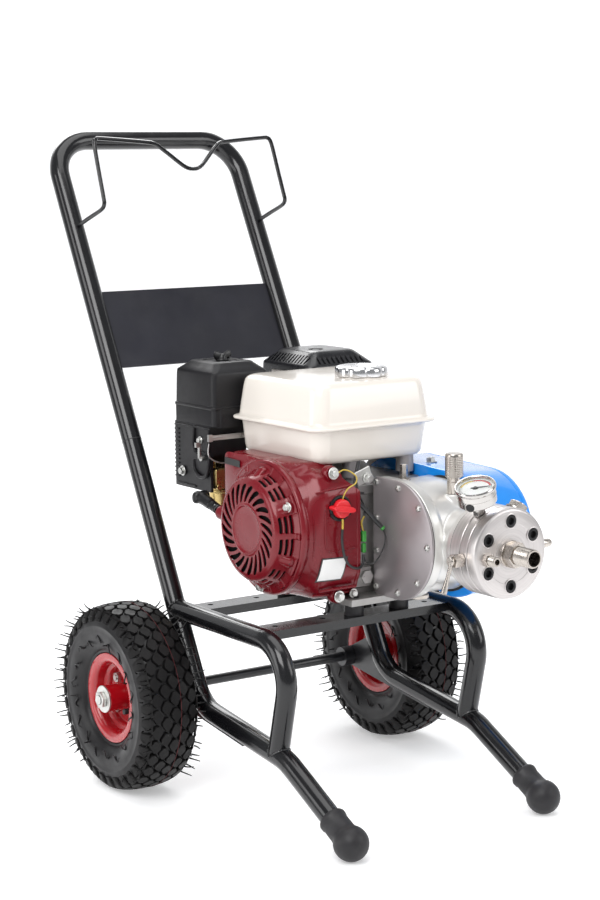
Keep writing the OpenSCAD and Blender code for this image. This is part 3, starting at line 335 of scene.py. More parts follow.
# ------------------------------------------------------------------ wheels
def tyre(s, name, body, node):
    b = B(); o = (s * 225, 0, 130)
    prof = [(51, -21), (51, -13), (56, -12.5), (62, -18), (78, -34), (100, -38), (116, -34), (121, -20), (121.5, 0), (121, 20), (116, 34), (100, 38), (78, 34), (62, 18), (56, 12.5),
            (51, 13), (51, 21), (53.5, 25.8), (62.8, 26.6), (63.6, 29), (66.5, 30), (68, 32.5), (71, 35), (76, 38.2), (82, 40.6), (88, 41.6), (94, 42), (99, 41.6), (100.5, 42.3), (102.5, 42.3), (104, 41.4),
            (108, 40.6), (112, 39), (116, 36.5), (120, 32.5), (123, 26), (124.6, 16), (125, 0), (124.6, -16), (123, -26), (120, -32.5), (116, -36.5), (112, -39), (108, -40.6), (104, -41.4),
            (102.5, -42.3), (100.5, -42.3), (99, -41.6), (94, -42), (88, -41.6), (82, -40.6), (76, -38.2), (71, -35), (68, -32.5), (66.5, -30), (63.6, -29), (62.8, -26.6), (53.5, -25.8)]
    b.lathe(prof, o, (1, 0, 0), 120, 0)
    N = 36; pit = 2 * pi / N
    def Rt(x): return 129.9 - (abs(x) / 44.0) ** 2.6 * 8.5
    def Rb(x): return min(124.2, 124.6 - max(0, abs(x) - 14) ** 2 * 0.012)
    def P(x, th, r): return Vector((s * 225 + x, r * cos(th), 130 + r * sin(th)))
    def block(pts, dh=0.0, mi=1):
        c = (sum(p[0] for p in pts) / len(pts), sum(p[1] for p in pts) / len(pts)); rs = []
        for (k, lv) in ((1.03, 0), (1.0, 0.84), (0.94, 1.0)):
            ring = []
            for (x, t) in pts:
                x2 = c[0] + (x - c[0]) * k; t2 = c[1] + (t - c[1]) * k; rb, rt = Rb(x2) - 1.0, Rt(x2) - dh
                ring.append(P(x2, t2, rb + (rt - rb) * lv))
            rs.append(ring)
        b.rings(rs, mi)
    w = pit * 0.5
    for i in range(N):
        for c, x0 in enumerate((-27, -13.5, 0, 13.5, 27)):
            t0 = i * pit + (pit / 2 if c % 2 else 0)
            kx, kt = 7.3, w * 0.97; sk = 0.10 * w * (1 if i % 2 else -1)
            pts = [(x0 - kx, t0 - kt * 0.2 + sk), (x0 - 2.6, t0 - kt * 0.86), (x0 + 1.6, t0 - kt * 0.92), (x0 + kx, t0 - kt * 0.26 - sk), (x0 + kx, t0 + kt * 0.16 - sk), (x0 + 2.6, t0 + kt * 0.82), (x0 - 1.6, t0 + kt * 0.88), (x0 - kx, t0 + kt * 0.22 + sk)]
            block(pts)
        for sg in (-1, 1):      # shoulder lugs, running down onto the wall
            t0 = i * pit + (pit / 2)
            rs = []
            for (k, up) in ((1.0, -1.2), (0.9, 1.9), (0.74, 2.7)):
                r = []
                for (x, rad, t) in ((34.2, 124.5, -0.43), (38.6, 120.5, -0.43), (41.4, 114.5, -0.36), (42.2, 109.5, -0.26), (42.2, 109.5, 0.26), (41.4, 114.5, 0.36), (38.6, 120.5, 0.43), (34.2, 124.5, 0.43)):
                    nx, nr = (x - 30) / 14, (rad - 105) / 20; L = hypot(nx, nr); nx, nr = nx / L, nr / L
                    xm, rm = 39, 118
                    r.append(P(sg * (xm + (x - xm) * (0.94 + 0.06 * k) + nx * up * 0.55 - 0.9), t0 + t * pit * 0.98 * k, rm + (rad - rm) * (0.9 + 0.1 * k) + nr * up * 0.9 - 1.2))
                rs.append(r if sg > 0 else r[::-1])
            b.rings(rs, 1)
    # thin marking line round the crown and short raised marks on the walls
    for sg in (-1, 1):
        for i in range(18):
            a = i * 2 * pi / 18 + 0.1
            pts = [P(sg * (41.2 - abs(j - 3) * 0.25 + 0.6), a + (j - 3) * 0.035, 84 + 5 * sin(j * 0.9) - (i % 2) * 6) for j in range(7)]
            b.tube(pts, [0.5, 0.9, 1.1, 1.2, 1.1, 0.9, 0.5], 6, 0)
    b.tube([P(7.5 + 0.8 * sin(3 * a), a, Rt(7.5) + 0.02) for a in [2 * pi * i / 150 for i in range(151)]], 0.32, 5, 2)
    # moulding whiskers
    def whisker(p, d, L):
        d = Vector(d).normalized(); k = Vector((rnd.uniform(-1, 1), rnd.uniform(-1, 1), rnd.uniform(-1, 1))) * 0.28
        q = [Vector(p) + d * L * t + k * L * t * t for t in (0, 0.33, 0.66, 1)]
        b.tube(q, [1.25, 0.95, 0.85, 0.6], 6, 1)
    for i in range(N * 2):
        a = i * pit / 2 + 0.02
        if sin(a) < -0.78: continue
        for x in ((-37, 37) if i % 2 else (-34, 34)):
            if rnd.random() < 0.9: whisker(P(x, a + rnd.uniform(-.02, .02), Rt(x) - 1.6), Vector((0.026 * x, 0.62 * cos(a), 0.62 * sin(a))), rnd.uniform(10, 15))
    for i in range(N):
        a = i * pit
        if sin(a) < -0.9: continue
        for sg in (-1, 1):
            if rnd.random() < 0.8: whisker(P(sg * 41.5, a, 113), Vector((sg * 1.0, 0.55 * cos(a), 0.55 * sin(a))), rnd.uniform(4, 8))
            if i % 5 == 0: whisker(P(sg * 41, a + 0.03, 80 + rnd.uniform(-3, 8)), Vector((sg * 1.0, 0.2 * cos(a), 0.2 * sin(a))), rnd.uniform(5, 8))
    return make(b, name, [TYRESIDE, TYRE, TLINE], body, (node,), smooth=38)
def rim(s, name, body, node):
    b = B(); o = (s * 225, 0, 130); d = (s, 0, 0)
    half = [(18.3, 0.2), (36, 0.2), (38.5, 1.0), (40.5, 3.4), (41.5, 7), (43, 9.5), (46, 10.5), (48.2, 12), (49.3, 15), (49.5, 21), (51, 25), (53.5, 27), (57, 27.6), (60.5, 27.2), (61.9, 27.4),
            (62.6, 28.6), (62, 29.8), (60.5, 29.9), (57, 30.1), (52.5, 29.4), (49.3, 26.8), (47.4, 21.5), (47.2, 15.5), (46.4, 13.4), (44.5, 12.6), (41.6, 11.8), (39.6, 9), (38.4, 4.6), (36.6, 3), (18.3, 2.5)]
    b.lathe(half, o, d, 96, 0); b.lathe([(r, -t) for r, t in half], o, d, 96, 0)
    b.lathe([(16.2, -38), (18.1, -38), (18.5, -37.4), (18.5, -4.2), (20.4, -3.4), (21.6, -2.4), (18.4, -1), (18.4, 1), (21.6, 2.4), (20.4, 3.4), (18.5, 4.2), (18.5, 37.4), (18.1, 38), (16.2, 38)], o, d, 64, 0)
    # bearing faces inside the hub ends
    for sg in (-1, 1):
        b.lathe([(7.2, 33.5), (9.4, 33.5), (9.8, 34.3), (13.6, 34.3), (14, 33.5), (16.1, 33.5), (16.1, 37), (14, 37), (13.6, 36.4), (9.8, 36.4), (9.4, 37), (7.2, 37)], o, (s * sg, 0, 0), 48, 1)
    # valve stem with cap
    va = radians(205); vc = Vector((s * 225, 33 * cos(va), 130 + 33 * sin(va)))
    b.lathe([(0.1, -6), (4.2, -6), (4.4, 3.2), (3.4, 5), (3.2, 16), (3.9, 16.2), (4.0, 24.5), (3.4, 25.4), (0.1, 25.4)], vc, d, 20, 2, closed=False)
    return make(b, name, [RIM, ZINC, RUBBER], body, (node,), smooth=32)
tyre(-1, "tyre_left_tread", "wheel_l", "tyre_left"); tyre(1, "tyre_right_tread", "wheel_r", "tyre_right")
rim(-1, "rim_left_pressed", "wheel_l", "rim_left"); rim(1, "rim_right_pressed", "wheel_r", "rim_right")
def axle_nuts():
    b = B()
    for s in (-1, 1):
        d = (s, 0, 0)
        b.lathe([(7.2, 263.4), (18.4, 263.4), (19, 264), (19, 265.2), (18.4, 265.8), (7.2, 265.8)], (0, 0, 130), d, 64, 0)
        b.hexn((s * 265.8, 0, 130), d, 21, 6.2, 0, bore=7.05, ph=0.3)
        b.lathe([(7.1, 177.4), (10.6, 177.4), (11, 178), (11, 186), (10.6, 186.6), (7.1, 186.6)], (0, 0, 130), d, 32, 0)
        b.lathe([(0.1, 262), (7.06, 262), (7.06, 272.2), (6.4, 273.3), (0.1, 273.3)], (0, 0, 130), d, 32, 0, closed=False)
    make(b, "axle_nuts_set", ZINC, "cart", ("axle_nuts",))
axle_nuts()
# ------------------------------------------------------------------ frame extras: weld beads, boots
def bead(name, pts, r=2.0):
    """a rippled weld bead along a closed or open line"""
    b = B(); P = catmull(pts, 90); b.tube(P, [r * (1 + 0.16 * sin(i * 1.3)) for i in range(len(P))], 10)
    return make(b, name, BLACK, "cart")
def saddle(c, axis, r, R, dirn, n=28):
    """closed curve where a tube of radius r along axis meets a tube of radius R along dirn"""
    u, w, d = frame_of(axis); dd = Vector(dirn).normalized(); out = []
    for i in range(n + 1):
        a = 2 * pi * i / n; off = u * r * cos(a) + w * r * sin(a)
        perp = off - dd * off.dot(dd); t = sqrt(max(0, R * R - min(perp.length, R * .999) ** 2))
        # move along axis until the distance to dirn's line equals R
        ax = Vector(axis).normalized(); axp = ax - dd * ax.dot(dd)
        A = axp.dot(axp); Bq = 2 * perp.dot(axp); C = perp.dot(perp) - R * R
        s = (-Bq + sqrt(max(0, Bq * Bq - 4 * A * C))) / (2 * A); out.append(Vector(c) + off + ax * s)
    return out
RD = Vector((0, sin(radians(27.3)), cos(radians(27.3))))
for s, nm in ((-1, "left"), (1, "right")):
    bead("weld_arm_top_" + nm, saddle((s * 157, -19.9, 246), (0, -1, 0), 14, 14, RD), 1.7)
    bead("weld_arm_low_" + nm, saddle((s * 157, -270.8, 97.0), (0, -0.236, 0.972), 14, 14, (0, -0.99, -0.13)), 1.7)
    b = B()                                   # foot boot with collar and ball
    c = Vector((s * 157, -432, 23)); d = Vector((0, 0.8925, 0.4512))
    pr = [(0.1, -22.9)] + [(22.9 * sin(radians(a)), -22.9 * cos(radians(a))) for a in range(12, 118, 8)] + [(18.6, 13.5), (17.9, 16), (17.4, 20), (17.2, 38), (18.3, 40), (18.5, 44), (17.6, 45.8), (14.15, 45.8), (14.15, 30)]
    b.lathe(pr, c, d, 64, 0, closed=False); make(b, "foot_boot_" + nm, RUBBER, "cart", ("foot_" + nm,), smooth=40)
# handle joint line: a thin dark gap ring and the swaged collar
for s, nm in ((-1, "left"), (1, "right")):
    b = B(); rk = radians(27.7); dd = Vector((0, sin(rk), cos(rk)))
    b.lathe([(13.2, -0.5), (14.12, -0.5), (14.12, 0.7), (13.2, 0.7)], Vector((s * 157, 95, 469)), dd, 48, 0); make(b, "handle_joint_" + nm, GASKET_AND_SHADE, "cart")

# ------------------------------------------------------------------ engine
def sstep(a, b, x):
    t = max(0.0, min(1.0, (x - a) / (b - a))); return t * t * (3 - 2 * t)
def rbox_in(y, z, y0, y1, z0, z1, r):
    cy_, cz_ = (y0 + y1) / 2, (z0 + z1) / 2; qx = abs(y - cy_) - (y1 - y0) / 2 + r; qz = abs(z - cz_) - (z1 - z0) / 2 + r
    return hypot(max(qx, 0), max(qz, 0)) + min(max(qx, qz), 0) - r <= 0
def shr_in(y, z):
    return (y - CR[0]) ** 2 + (z - CR[1]) ** 2 < 93 ** 2 or rbox_in(y, z, -200, -34, 330, 463, 9) or rbox_in(y, z, -228, -110, 279, 455, 26) or rbox_in(y, z, -235, -140, 292, 447, 30)
NS = 216
def ray_r(fn, a):
    lo, hi = 40.0, 175.0
    for _ in range(26):
        m = (lo + hi) / 2
        if fn(CR[0] + m * cos(a), CR[1] + m * sin(a)): lo = m
        else: hi = m
    return lo
ANG = [2 * pi * i / NS for i in range(NS)]
OUT = [ray_r(shr_in, a) for a in ANG]
OUT = [(OUT[i - 1] + 2 * OUT[i] + OUT[(i + 1) % NS]) / 4 for i in range(NS)]
def shr_ring(x, w, d=0.0, base=93.0):
    rs = []
    for a, R in zip(ANG, OUT):
        ww = w(a) if callable(w) else w
        r = (base + (R - base) * ww) - d; rs.append(Vector((x, CR[0] + r * cos(a), CR[1] + r * sin(a))))
    return rs
def backq(a):       # 1 in the upper back corner, where the shroud is flat on its face
    y, z = cos(a), sin(a); return sstep(0.05, 0.35, y) * sstep(0.0, 0.25, z)
def wfun(x):
    def f(a):
        q = backq(a); return (1 - q) * sstep(-79, -52, x) + q * sstep(-87.0, -84.0, x)
    return f
def shroud():
    b = B(); rs = [shr_ring(-88.2, 0, 93 - 72)]
    for x, d in ((-88.6, 6.5), (-88.6, 4.2), (-88.0, 2.4), (-86.6, 1.0), (-85, 0.2), (-83, 0), (-80.5, 0.1), (-79, 0.9), (-77.6, 1.9), (-76.0, 2.2), (-74.5, 1.7), (-72.5, 0.8), (-69, 0.4), (-65, 0.2), (-61, 0.1), (-57, 0), (-53, 0), (-40, 0), (-22, 0), (-6, 0), (-3.2, 0), (-2.6, 0), (-2.0, -1.1), (1.8, -1.4), (2.8, -1.0), (3.0, 0.2)):
        base = 93
        rs.append(shr_ring(x, wfun(x), d * (1.0), base))
    rs.append(shr_ring(3.0, 1, 2.2)); rs.append(shr_ring(-50, 1, 2.6)); rs.append(shr_ring(-70, wfun(-66), 4)); rs.append(shr_ring(-84, wfun(-80), 5)); rs.append(shr_ring(-86.2, 0, 93 - 72))
    rs.append(rs[0]); b.rings(rs, 0, caps=(False, False))
    yy = -235.1
    # pressed outline on the front face, lower rib
    for pts, r in (([(-53, yy, 402), (-53.6, yy, 385), (-54, yy, 362), (-52.5, yy, 352), (-47, yy, 347.4), (-36, yy, 346.4), (-14, yy, 348), (-6, yy, 348.6)], 1.25),
                   ([(-60, -228, 293.5), (-45, -231.6, 294.8), (-25, -232, 295), (-3, -231.6, 294.8)], 2.0), ([(-64, -217, 286.5), (-45, -221, 286), (-25, -221.4, 285.8), (-3, -221, 285.6)], 1.6),
                   ([(-66, yy + 4, 427), (-40, yy + 0.6, 431), (-20, yy + 0.4, 433), (-3, yy + 0.6, 434)], 1.2)):
        b.tube(catmull(pts, 34), r, 10)
    # cooling ribs ridge following the drum, seen from the front quarter
    for R, xx, rr in ((93.6, -70.5, 1.0),):
        pts = [Vector((xx, CR[0] + R * cos(a), CR[1] + R * sin(a))) for a in [radians(q) for q in range(112, 262, 4)]]; b.tube(pts, [rr * min(1, min(i, len(pts) - 1 - i) / 5 + 0.2) for i in range(len(pts))], 8)
    # bosses for the two side bolts
    for (x, y, z, ax) in ((-36, -224, 450.5, (0, -1, 0.1)), (-29.5, -226.5, 283.5, (0, -1, 0))):
        b.lathe([(0.1, -12), (10.5, -12), (10, -2), (8.8, -0.6), (0.1, -0.6)], (x, y - 3, z), ax, 36, 0, closed=False)
    c = B(); c.rings([[Vector((-18, y, 442)), Vector((9, y, 419)), Vector((9, y, 476)), Vector((-18, y, 476))] for y in (-246, -160)])
    o = make(b, "shroud_pressed", CRIM, "cart", ("shroud",), smooth=40, cuts=c)
    b = B()
    b.bolt((-36, -228.5, 450.5), (0, -1, 0.1), 10); b.bolt((-29.5, -230.5, 283.5), (0, -1, 0), 10)
    b.bolt((-3, -226, 284), (0, -1, 0), 8)
    make(b, "shroud_bolts", ZINC, "cart", smooth=30)
    # blank label, its edge in black, laid on the lower front
    def lab(u, v, d):
        x = -69.5 + (-26.8 + 69.5) * u + (10.0 - 0.6 * u) * v; z = 307.5 + 31.8 * v - 1.5 * u
        a = atan2(z - CR[1], -235 - CR[0]); R = ray_r(shr_in, a)
        for _ in range(3):
            y = CR[0] + R * cos(a); a = atan2(z - CR[1], y - CR[0]); R = ray_r(shr_in, a)
        return Vector((x, CR[0] + R * cos(a) - d, z))
    for nm, mt, e, d in (("label_edge", INK, 0.0, 0.35), ("label_blank", WHITE, 0.045, 0.6)):
        b = B(); n = 10; g = [[lab(e + (1 - 2 * e) * i / n, e * 1.3 + (1 - 2.6 * e) * j / n, d) for i in range(n + 1)] for j in range(n + 1)]
        vs = [p for r in g for p in r]; vs += [p + Vector((0, 0.8, 0)) for p in vs]; k = (n + 1) ** 2
        fs = [[j * (n + 1) + i, j * (n + 1) + i + 1, (j + 1) * (n + 1) + i + 1, (j + 1) * (n + 1) + i] for j in range(n) for i in range(n)]
        fs += [[q + k for q in f[::-1]] for f in fs]
        rim_ = [i for i in range(n + 1)] + [(j + 1) * (n + 1) - 1 for j in range(1, n + 1)] + [n * (n + 1) + i for i in range(n - 1, -1, -1)] + [j * (n + 1) for j in range(n - 1, 0, -1)]
        fs += [[rim_[i], rim_[(i + 1) % len(rim_)], rim_[(i + 1) % len(rim_)] + k, rim_[i] + k] for i in range(len(rim_))]
        b.add(vs, fs); make(b, nm, mt, "cart", smooth=60)
    b = B(); b.box((-87.2, -60, 450.5), (1.2, 38, 9.5), Matrix.Rotation(radians(2), 3, "X"), 0, 0.4); make(b, "shroud_small_plate", INK, "cart")
shroud()
def recoil():
    b = B(); n = 144; o = (-89.1, CR[0], CR[1]); d = (-1, 0, 0)
    u, w, dd = frame_of(d)
    def P(r, a, t):  # a measured from +Y towards +Z
        return Vector((-89.1 - t, CR[0] + r * cos(a), CR[1] + r * sin(a)))
    boss = [radians(q) for q in (95, 152, 207, 268, 330, 32)]
    prof = [(72, 0), (88, 0), (88.4, 0.6), (88.4, 2.2), (87.6, 2.9), (84, 3.1), (81.4, 3.4), (79.6, 4.8), (78.4, 7), (76.3, 11.5), (74.2, 16), (72.2, 20), (70.8, 22.6), (69, 24.9), (66.4, 26.5), (63.4, 27.4), (60, 27.8), (50, 27.95), (37.5, 28.0), (35.6, 28.0), (34.6, 28.7), (33.4, 28.9), (32.2, 28.3), (31.4, 27.4), (29.6, 27.1), (20, 27.3), (8, 27.5)]
    inn = [(8, 26.3), (30, 26.0), (60, 26.5), (65.6, 25.4), (68.4, 23.2), (70.4, 19.6), (74.9, 9), (77, 4), (72, 1.6)]
    full = prof + inn; rs = []
    for i in range(n):
        a = 2 * pi * i / n; rs.append([P(r, a, t) for r, t in full])
    k = len(full); vs = [p for r in rs for p in r]; fs = []
    kp = len(prof)
    for i in range(n):
        j = (i + 1) % n
        for q in range(k):
            p = (q + 1) % k
            if q == kp - 1: continue
            fs.append([i * k + q, j * k + q, j * k + p, i * k + p])
    # centre discs
    fs.append([i * k + kp - 1 for i in range(n)]); fs.append([i * k + kp for i in range(n)][::-1])
    b.add(vs, fs, 0)
    c = B()
    for i in range(24):     # slanted tear-drop slots in the face
        a0 = 2 * pi * i / 24 + 0.06; pts = []
        sk = 0.155
        L = [(37.4, -1.2), (39.2, -2.4), (45, -3.3), (52, -4.2), (58.0, -4.7), (61.4, -3.4), (62.6, 0), (61.4, 3.4), (58.0, 4.7), (52, 4.2), (45, 3.3), (39.2, 2.4), (37.4, 1.2)]
        ring = []
        for r, h in L:
            aa = a0 + sk * (r - 49) / 12 + h / r; ring.append((r, aa))
        c.rings([[P(r, aa, 21.5) for r, aa in ring], [P(r, aa, 31) for r, aa in ring]])
    groups = [(124, 8.6), (180, 10), (238, 9), (299, 9), (0, 9), (63, 8.6)]
    for ga, hw in groups:
        for row in (-1, 1):
            for ti, t in enumerate((7.6, 13.2, 18.8)):
                if ga == 0 and ti == 2: continue
                am = radians(ga + row * (hw + 1.6)); ring = []
                hl = radians(hw) * (0.94 - 0.03 * ti)
                for q in range(9): ang_ = -pi / 2 + pi * q / 8; ring.append((am + hl - 0.03 + 0.03 * cos(ang_), t + 2.25 * sin(ang_)))
                for q in range(9): ang_ = pi / 2 + pi * q / 8; ring.append((am - hl + 0.03 + 0.03 * cos(ang_), t + 2.25 * sin(ang_)))
                m = 6; top = []
                c.rings([[P(60 if r0 == 0 else 90, aa, tt + (5 if r0 == 0 else -6)) for aa, tt in ring] for r0 in (0, 1)])
    ob = make(b, "recoil_cover_vented", CRIM, "cart", ("recoil_cover",), smooth=42, cuts=c)
    # bolt bosses: long rounded ramps between the louvre groups; bosses without bolts get a black disc, painted shade
    # for the empty hole
    b = B(); bb = B(); hb = B()
    for i, a in enumerate(boss):
        R = (cos(a), sin(a)); rs = []
        for (t, ro, wd) in ((2.2, 84.5, 8.4), (7.5, 84.2, 8.0), (9.4, 83.4, 7.2), (14, 77.6, 6.4), (19, 72.8, 5.0), (22.5, 69.8, 3.0)):
            ring = []
            for q in range(13):
                th = pi * q / 12; ring.append((ro - wd * 0.55 + wd * 0.55 * sin(th) if True else ro, wd * cos(th)))
            ring += [(66, -wd), (66, wd)]
            rs.append([Vector((-89.1 - t, CR[0] + rr * cos(a) - h * sin(a), CR[1] + rr * sin(a) + h * cos(a))) for rr, h in ring])
        b.rings(rs)
        q = (-89.1 - 8.2, CR[0] + 80.5 * cos(a), CR[1] + 80.5 * sin(a))
        if i in (1, 3): bb.bolt(q, (-1, 0.18 * cos(a), 0.18 * sin(a)), 8.5)
        else: hb.cyl((q[0] + 1.0, q[1], q[2]), (q[0] - 1.4, q[1], q[2]), 3.2, 20)
    make(b, "recoil_bolt_bosses", CRIM, "cart", smooth=50, bevel=0.8); make(bb, "recoil_bolts", ZINC, "cart", smooth=30); make(hb, "recoil_boss_holes_painted_shade", GASKET_AND_SHADE, "cart")
    # starter reel, and a near-black lining just inside the cover: painted shade behind the vent slots
    b = B(); b.lathe([(9, 8), (56, 8), (58, 9), (58, 18), (56, 19.5), (30, 20), (28, 23), (9, 23)], o, d, 72); b.lathe([(60, 3), (71, 3), (71, 4), (60, 4)], o, d, 72)
    b.lathe([(9, 22.6), (60, 23.4), (64.6, 22.6), (66.8, 20.6), (68.4, 17.8), (73.0, 8), (75.0, 3.6), (73.6, 3.6), (71.6, 8), (66.8, 17), (63.6, 20.8), (58, 21.8), (9, 21.4)], o, d, 96)
    make(b, "starter_reel_and_shade_lining", PAINTED_SHADE_DARK, "cart")
    # rope guide eyelet, upper back
    b = B(); g = Vector((-103, -62, 380)); dv = Vector((0, 0.97, 0.25))
    b.lathe([(4, -6), (9, -6), (10, 2), (10.4, 6), (9.6, 8), (6, 8.4), (4, 6)], g, dv, 36); make(b, "rope_guide", CRIM, "cart")
recoil()
def grip():
    b = B(); p0 = Vector((-103, -48, 383.7)); d = Vector((0, 0.97, 0.25)).normalized()
    b.lathe([(0.1, 0), (6.4, 0), (7.2, 1.2), (7.2, 7), (6.0, 8.2), (6.0, 9.4), (7.2, 10.4), (7.3, 16), (6.1, 17), (6.1, 18.4), (7.6, 19.4), (8.3, 27), (8.3, 35), (9, 41), (9.5, 44), (0.1, 44)], p0, d, 36, 0, closed=False)
    c = p0 + d * 48; R = Matrix.Rotation(radians(14.5), 3, "X"); rs = []
    for t, k in ((-12, 0.55), (-11.2, 0.8), (-9.5, 0.95), (-6, 1.02), (0, 0.97), (6, 1.02), (9.5, 0.95), (11.2, 0.8), (12, 0.55)):
        rs.append([c + Vector((t, 0, 0)) + R @ Vector((0, 7 * k * cos(a) * (1 if abs(cos(a)) < .98 else 1), 9 * k * sin(a))) for a in [2 * pi * i / 28 for i in range(28)]])
    b.rings(rs); b.tube([p0 - d * 17, p0 + d * 1], 1.9, 10)
    make(b, "rope_grip_moulded", PLAS2, "grip", ("rope_grip",), smooth=45)
grip()
def switch():
    b = B(); o = (-30, -235.2, 404); d = (0, -1, 0)
    b.lathe([(0.1, 0.3), (12.4, 0.3), (13, 1), (12.7, 6.5), (11.6, 8.8), (9.5, 9.6), (0.1, 9.8)], o, d, 56, 0, closed=False)
    rs = []
    for (y, k) in ((-237, 1.0), (-242, 1.0), (-248.2, 0.94), (-249.6, 0.84), (-250, 0.7)):
        ring = []
        for (x, z) in ((-19.5, 0), (-18.4, 2.2), (-14, 3.6), (-6, 4.4), (6, 4.4), (13, 3.8), (16.2, 2.2), (17.2, 0), (16.2, -2.2), (13, -3.8), (6, -4.4), (-6, -4.4), (-14, -3.6), (-18.4, -2.2)):
            a = radians(-9); xx = x * k ** 0.3; zz = z * k; ring.append(Vector((-30 + xx * cos(a) + zz * sin(a) * 0, y, 404 + zz + xx * -sin(-a) * 1.0)))
        rs.append(ring)
    b.rings(rs); make(b, "switch_knob_wing", RED, "switch", ("switch_knob",), smooth=40, bevel=0.4)
    b = B(); b.lathe([(0.1, -3), (17.4, -3), (17.6, 0), (17.2, 1.4), (15.6, 2.2), (14.4, 2.2), (13.6, 0.25), (0.1, 0.25)], o, d, 56, 0, closed=False)
    for a in (150, 210, 330): b.box((-30 + 16.4 * cos(radians(a)), -236.6, 404 + 16.4 * sin(radians(a))), (4.4, 3.4, 4.4), None, 0, 0.5)
    make(b, "switch_bezel", PLAS, "cart", smooth=40)
switch()
def airbox():
    b = B(); cx, cy_ = -33, 51; rs = []
    for z, w, h, r in ((515.2, 92, 100, 7), (515.2, 96.6, 107.6, 7), (516.0, 97.6, 108.6, 7.4), (518.6, 97.6, 108.6, 7.4), (519.4, 96.8, 107.8, 7.2), (520.0, 94.6, 105.6, 7), (524, 94.4, 105.4, 7), (545, 93.6, 104.6, 7), (563, 92.6, 103.6, 7.2), (566.6, 91.8, 102.8, 7.6),
                       (568, 90, 101, 8.4), (573, 78, 89, 9.4), (577.6, 67.6, 78.6, 10), (579.2, 64.6, 75.6, 10), (579.9, 61, 72, 9.5), (579.9, 40, 50, 8), (578.9, 38, 48, 7.5), (578.7, 26, 34, 6), (578.7, 14, 18, 4)):
        rs.append(xy(dens(rrect(w, h, r, 8, cx, cy_), 14), z) if False else xy(rrect(w, h, r, 8, cx, cy_), z))
    rs2 = [xy(rrect(78, 98, 7, 8, cx, cy_), z) for z in (568 - 6, 515.2)]
    b.rings(rs, caps=(True, True)); make(b, "air_cover_moulded", PLAS, "air_cover" if False else "cart", ("air_cover",), smooth=34)
    b = B()                                   # wing nut
    b.lathe([(0.1, 0), (3, 0), (3, 38.6), (9.5, 39.0), (10, 39.8), (9.6, 40.9), (6.6, 41.4), (6.2, 43), (5.6, 47), (4.4, 48), (0.1, 48.2)], (-28, 56, 540), (0, 0, 1), 36, 0, closed=False)
    for s in (-1, 1):
        rs = []
        for q in range(9):
            t = q / 8; x = 2 + 12.5 * t; hh = 4.2 + 2.2 * sin(pi * t * 0.8); zc = 584.8 + 2.4 * t; th = 1.9 - 0.6 * t; k = sqrt(max(0.02, 1 - max(0, (t - 0.75) / 0.25) ** 2))
            rs.append([Vector((-28 + s * x, 56 + th * cos(a), zc + hh * k * sin(a))) for a in [2 * pi * i / 16 for i in range(16)]])
        b.rings(rs)
    make(b, "wing_nut_moulded", PLAS2, "air_nut", ("wing_nut",), smooth=45)
    b = B()                                   # ribs and a bolt on the lower air case
    for q in range(13): b.box((-80.5, 98, 412 + q * 6.2), (2.0, 12, 2.6), None, 0, 0.4)
    b.tube(catmull([(-81, 10, 486), (-82, 10, 462), (-82, 16, 452), (-82, 30, 449), (-82, 46, 452), (-82, 51, 464), (-81, 50, 486)], 50), 2.2, 10)
    b.tube(catmull([(-81, 10, 447), (-83, 11, 430), (-83, 18, 420), (-83, 34, 418), (-81, 50, 426), (-80, 54, 440)], 50), 2.6, 10)
    b.box((-80.7, 74, 402), (2.4, 52, 3), None, 0, 0.5); b.box((-80.7, 74, 487), (2.4, 52, 3), None, 0, 0.5); b.box((-80.7, 30, 488), (2.4, 44, 3.4), None, 0, 0.6); b.box((-80.7, 30, 453), (2.4, 44, 3.4), None, 0, 0.6)
    rs = [xy(rrect(95.6, 107.6, 7.4, 8, cx, cy_), z) for z in (492, 514.6)]; rs = [xy(rrect(93, 105, 7.4, 8, cx, cy_), 490.4)] + rs + [xy(rrect(95, 107, 7.4, 8, cx, cy_), 515.1)]; b.rings(rs)
    make(b, "air_case_ribs", PLAS, "cart", smooth=35)
    b = B(); b.bolt((-81.6, 81, 421), (-1, 0, 0), 9); b.bolt((-80.2, 34, 470), (-1, 0, 0), 7)
    b.lathe([(0.1, 0), (4.6, 0), (4.6, 1.4), (3, 1.4), (2.6, 5), (0.1, 5)], (-52, 28, 366.5), (0, 0, -1), 20, 0, closed=False) if False else None
    make(b, "air_case_bolts", ZINC, "cart", smooth=30)
    b = B()                                   # carburettor
    b.lathe([(0.1, -1), (4.5, -1), (5.6, 0), (5.6, 5), (7, 6), (12, 7), (15.2, 9.5), (16, 13), (16.2, 28), (17.6, 28.6), (17.6, 32), (0.1, 32)], (-52, 28, 366.5), (0, 0, 1), 48, 0, closed=False)
    b.box((-52, 28, 415), (38, 34, 32), None, 0, 2.5); b.cyl((-76, 29, 418), (20, 29, 416), 12.6, 36, 0, bev=1); b.cyl((-66, 16, 404), (-66, 8, 404), 4, 20); b.box((-40, 13, 424), (10, 6, 12), None, 0, 1)
    b.cyl((-58, 40, 431), (-58, 40, 438), 5, 20); b.cyl((-44, 20, 431), (-44, 20, 446), 3, 16)
    make(b, "carburettor_cast", GOLD, "cart", ("carburettor",), smooth=38, bevel=0.5)
    b = B(); b.hexn((-52, 28, 365.6), (0, 0, -1), 10, 4, 0) if False else None
    b.tube(catmull([(-38, 11, 436), (-45, 2, 440), (-70, -2, 441), (-90, -4, 452), (-90.5, -5, 470)], 30), 1.1, 8); b.tube(catmull([(-92, -6.6, 478), (-60, -10.2, 479.5), (-26, -10.4, 478)], 20), 0.9, 8)
    make(b, "control_rod", STEEL, "cart", smooth=50)
airbox()
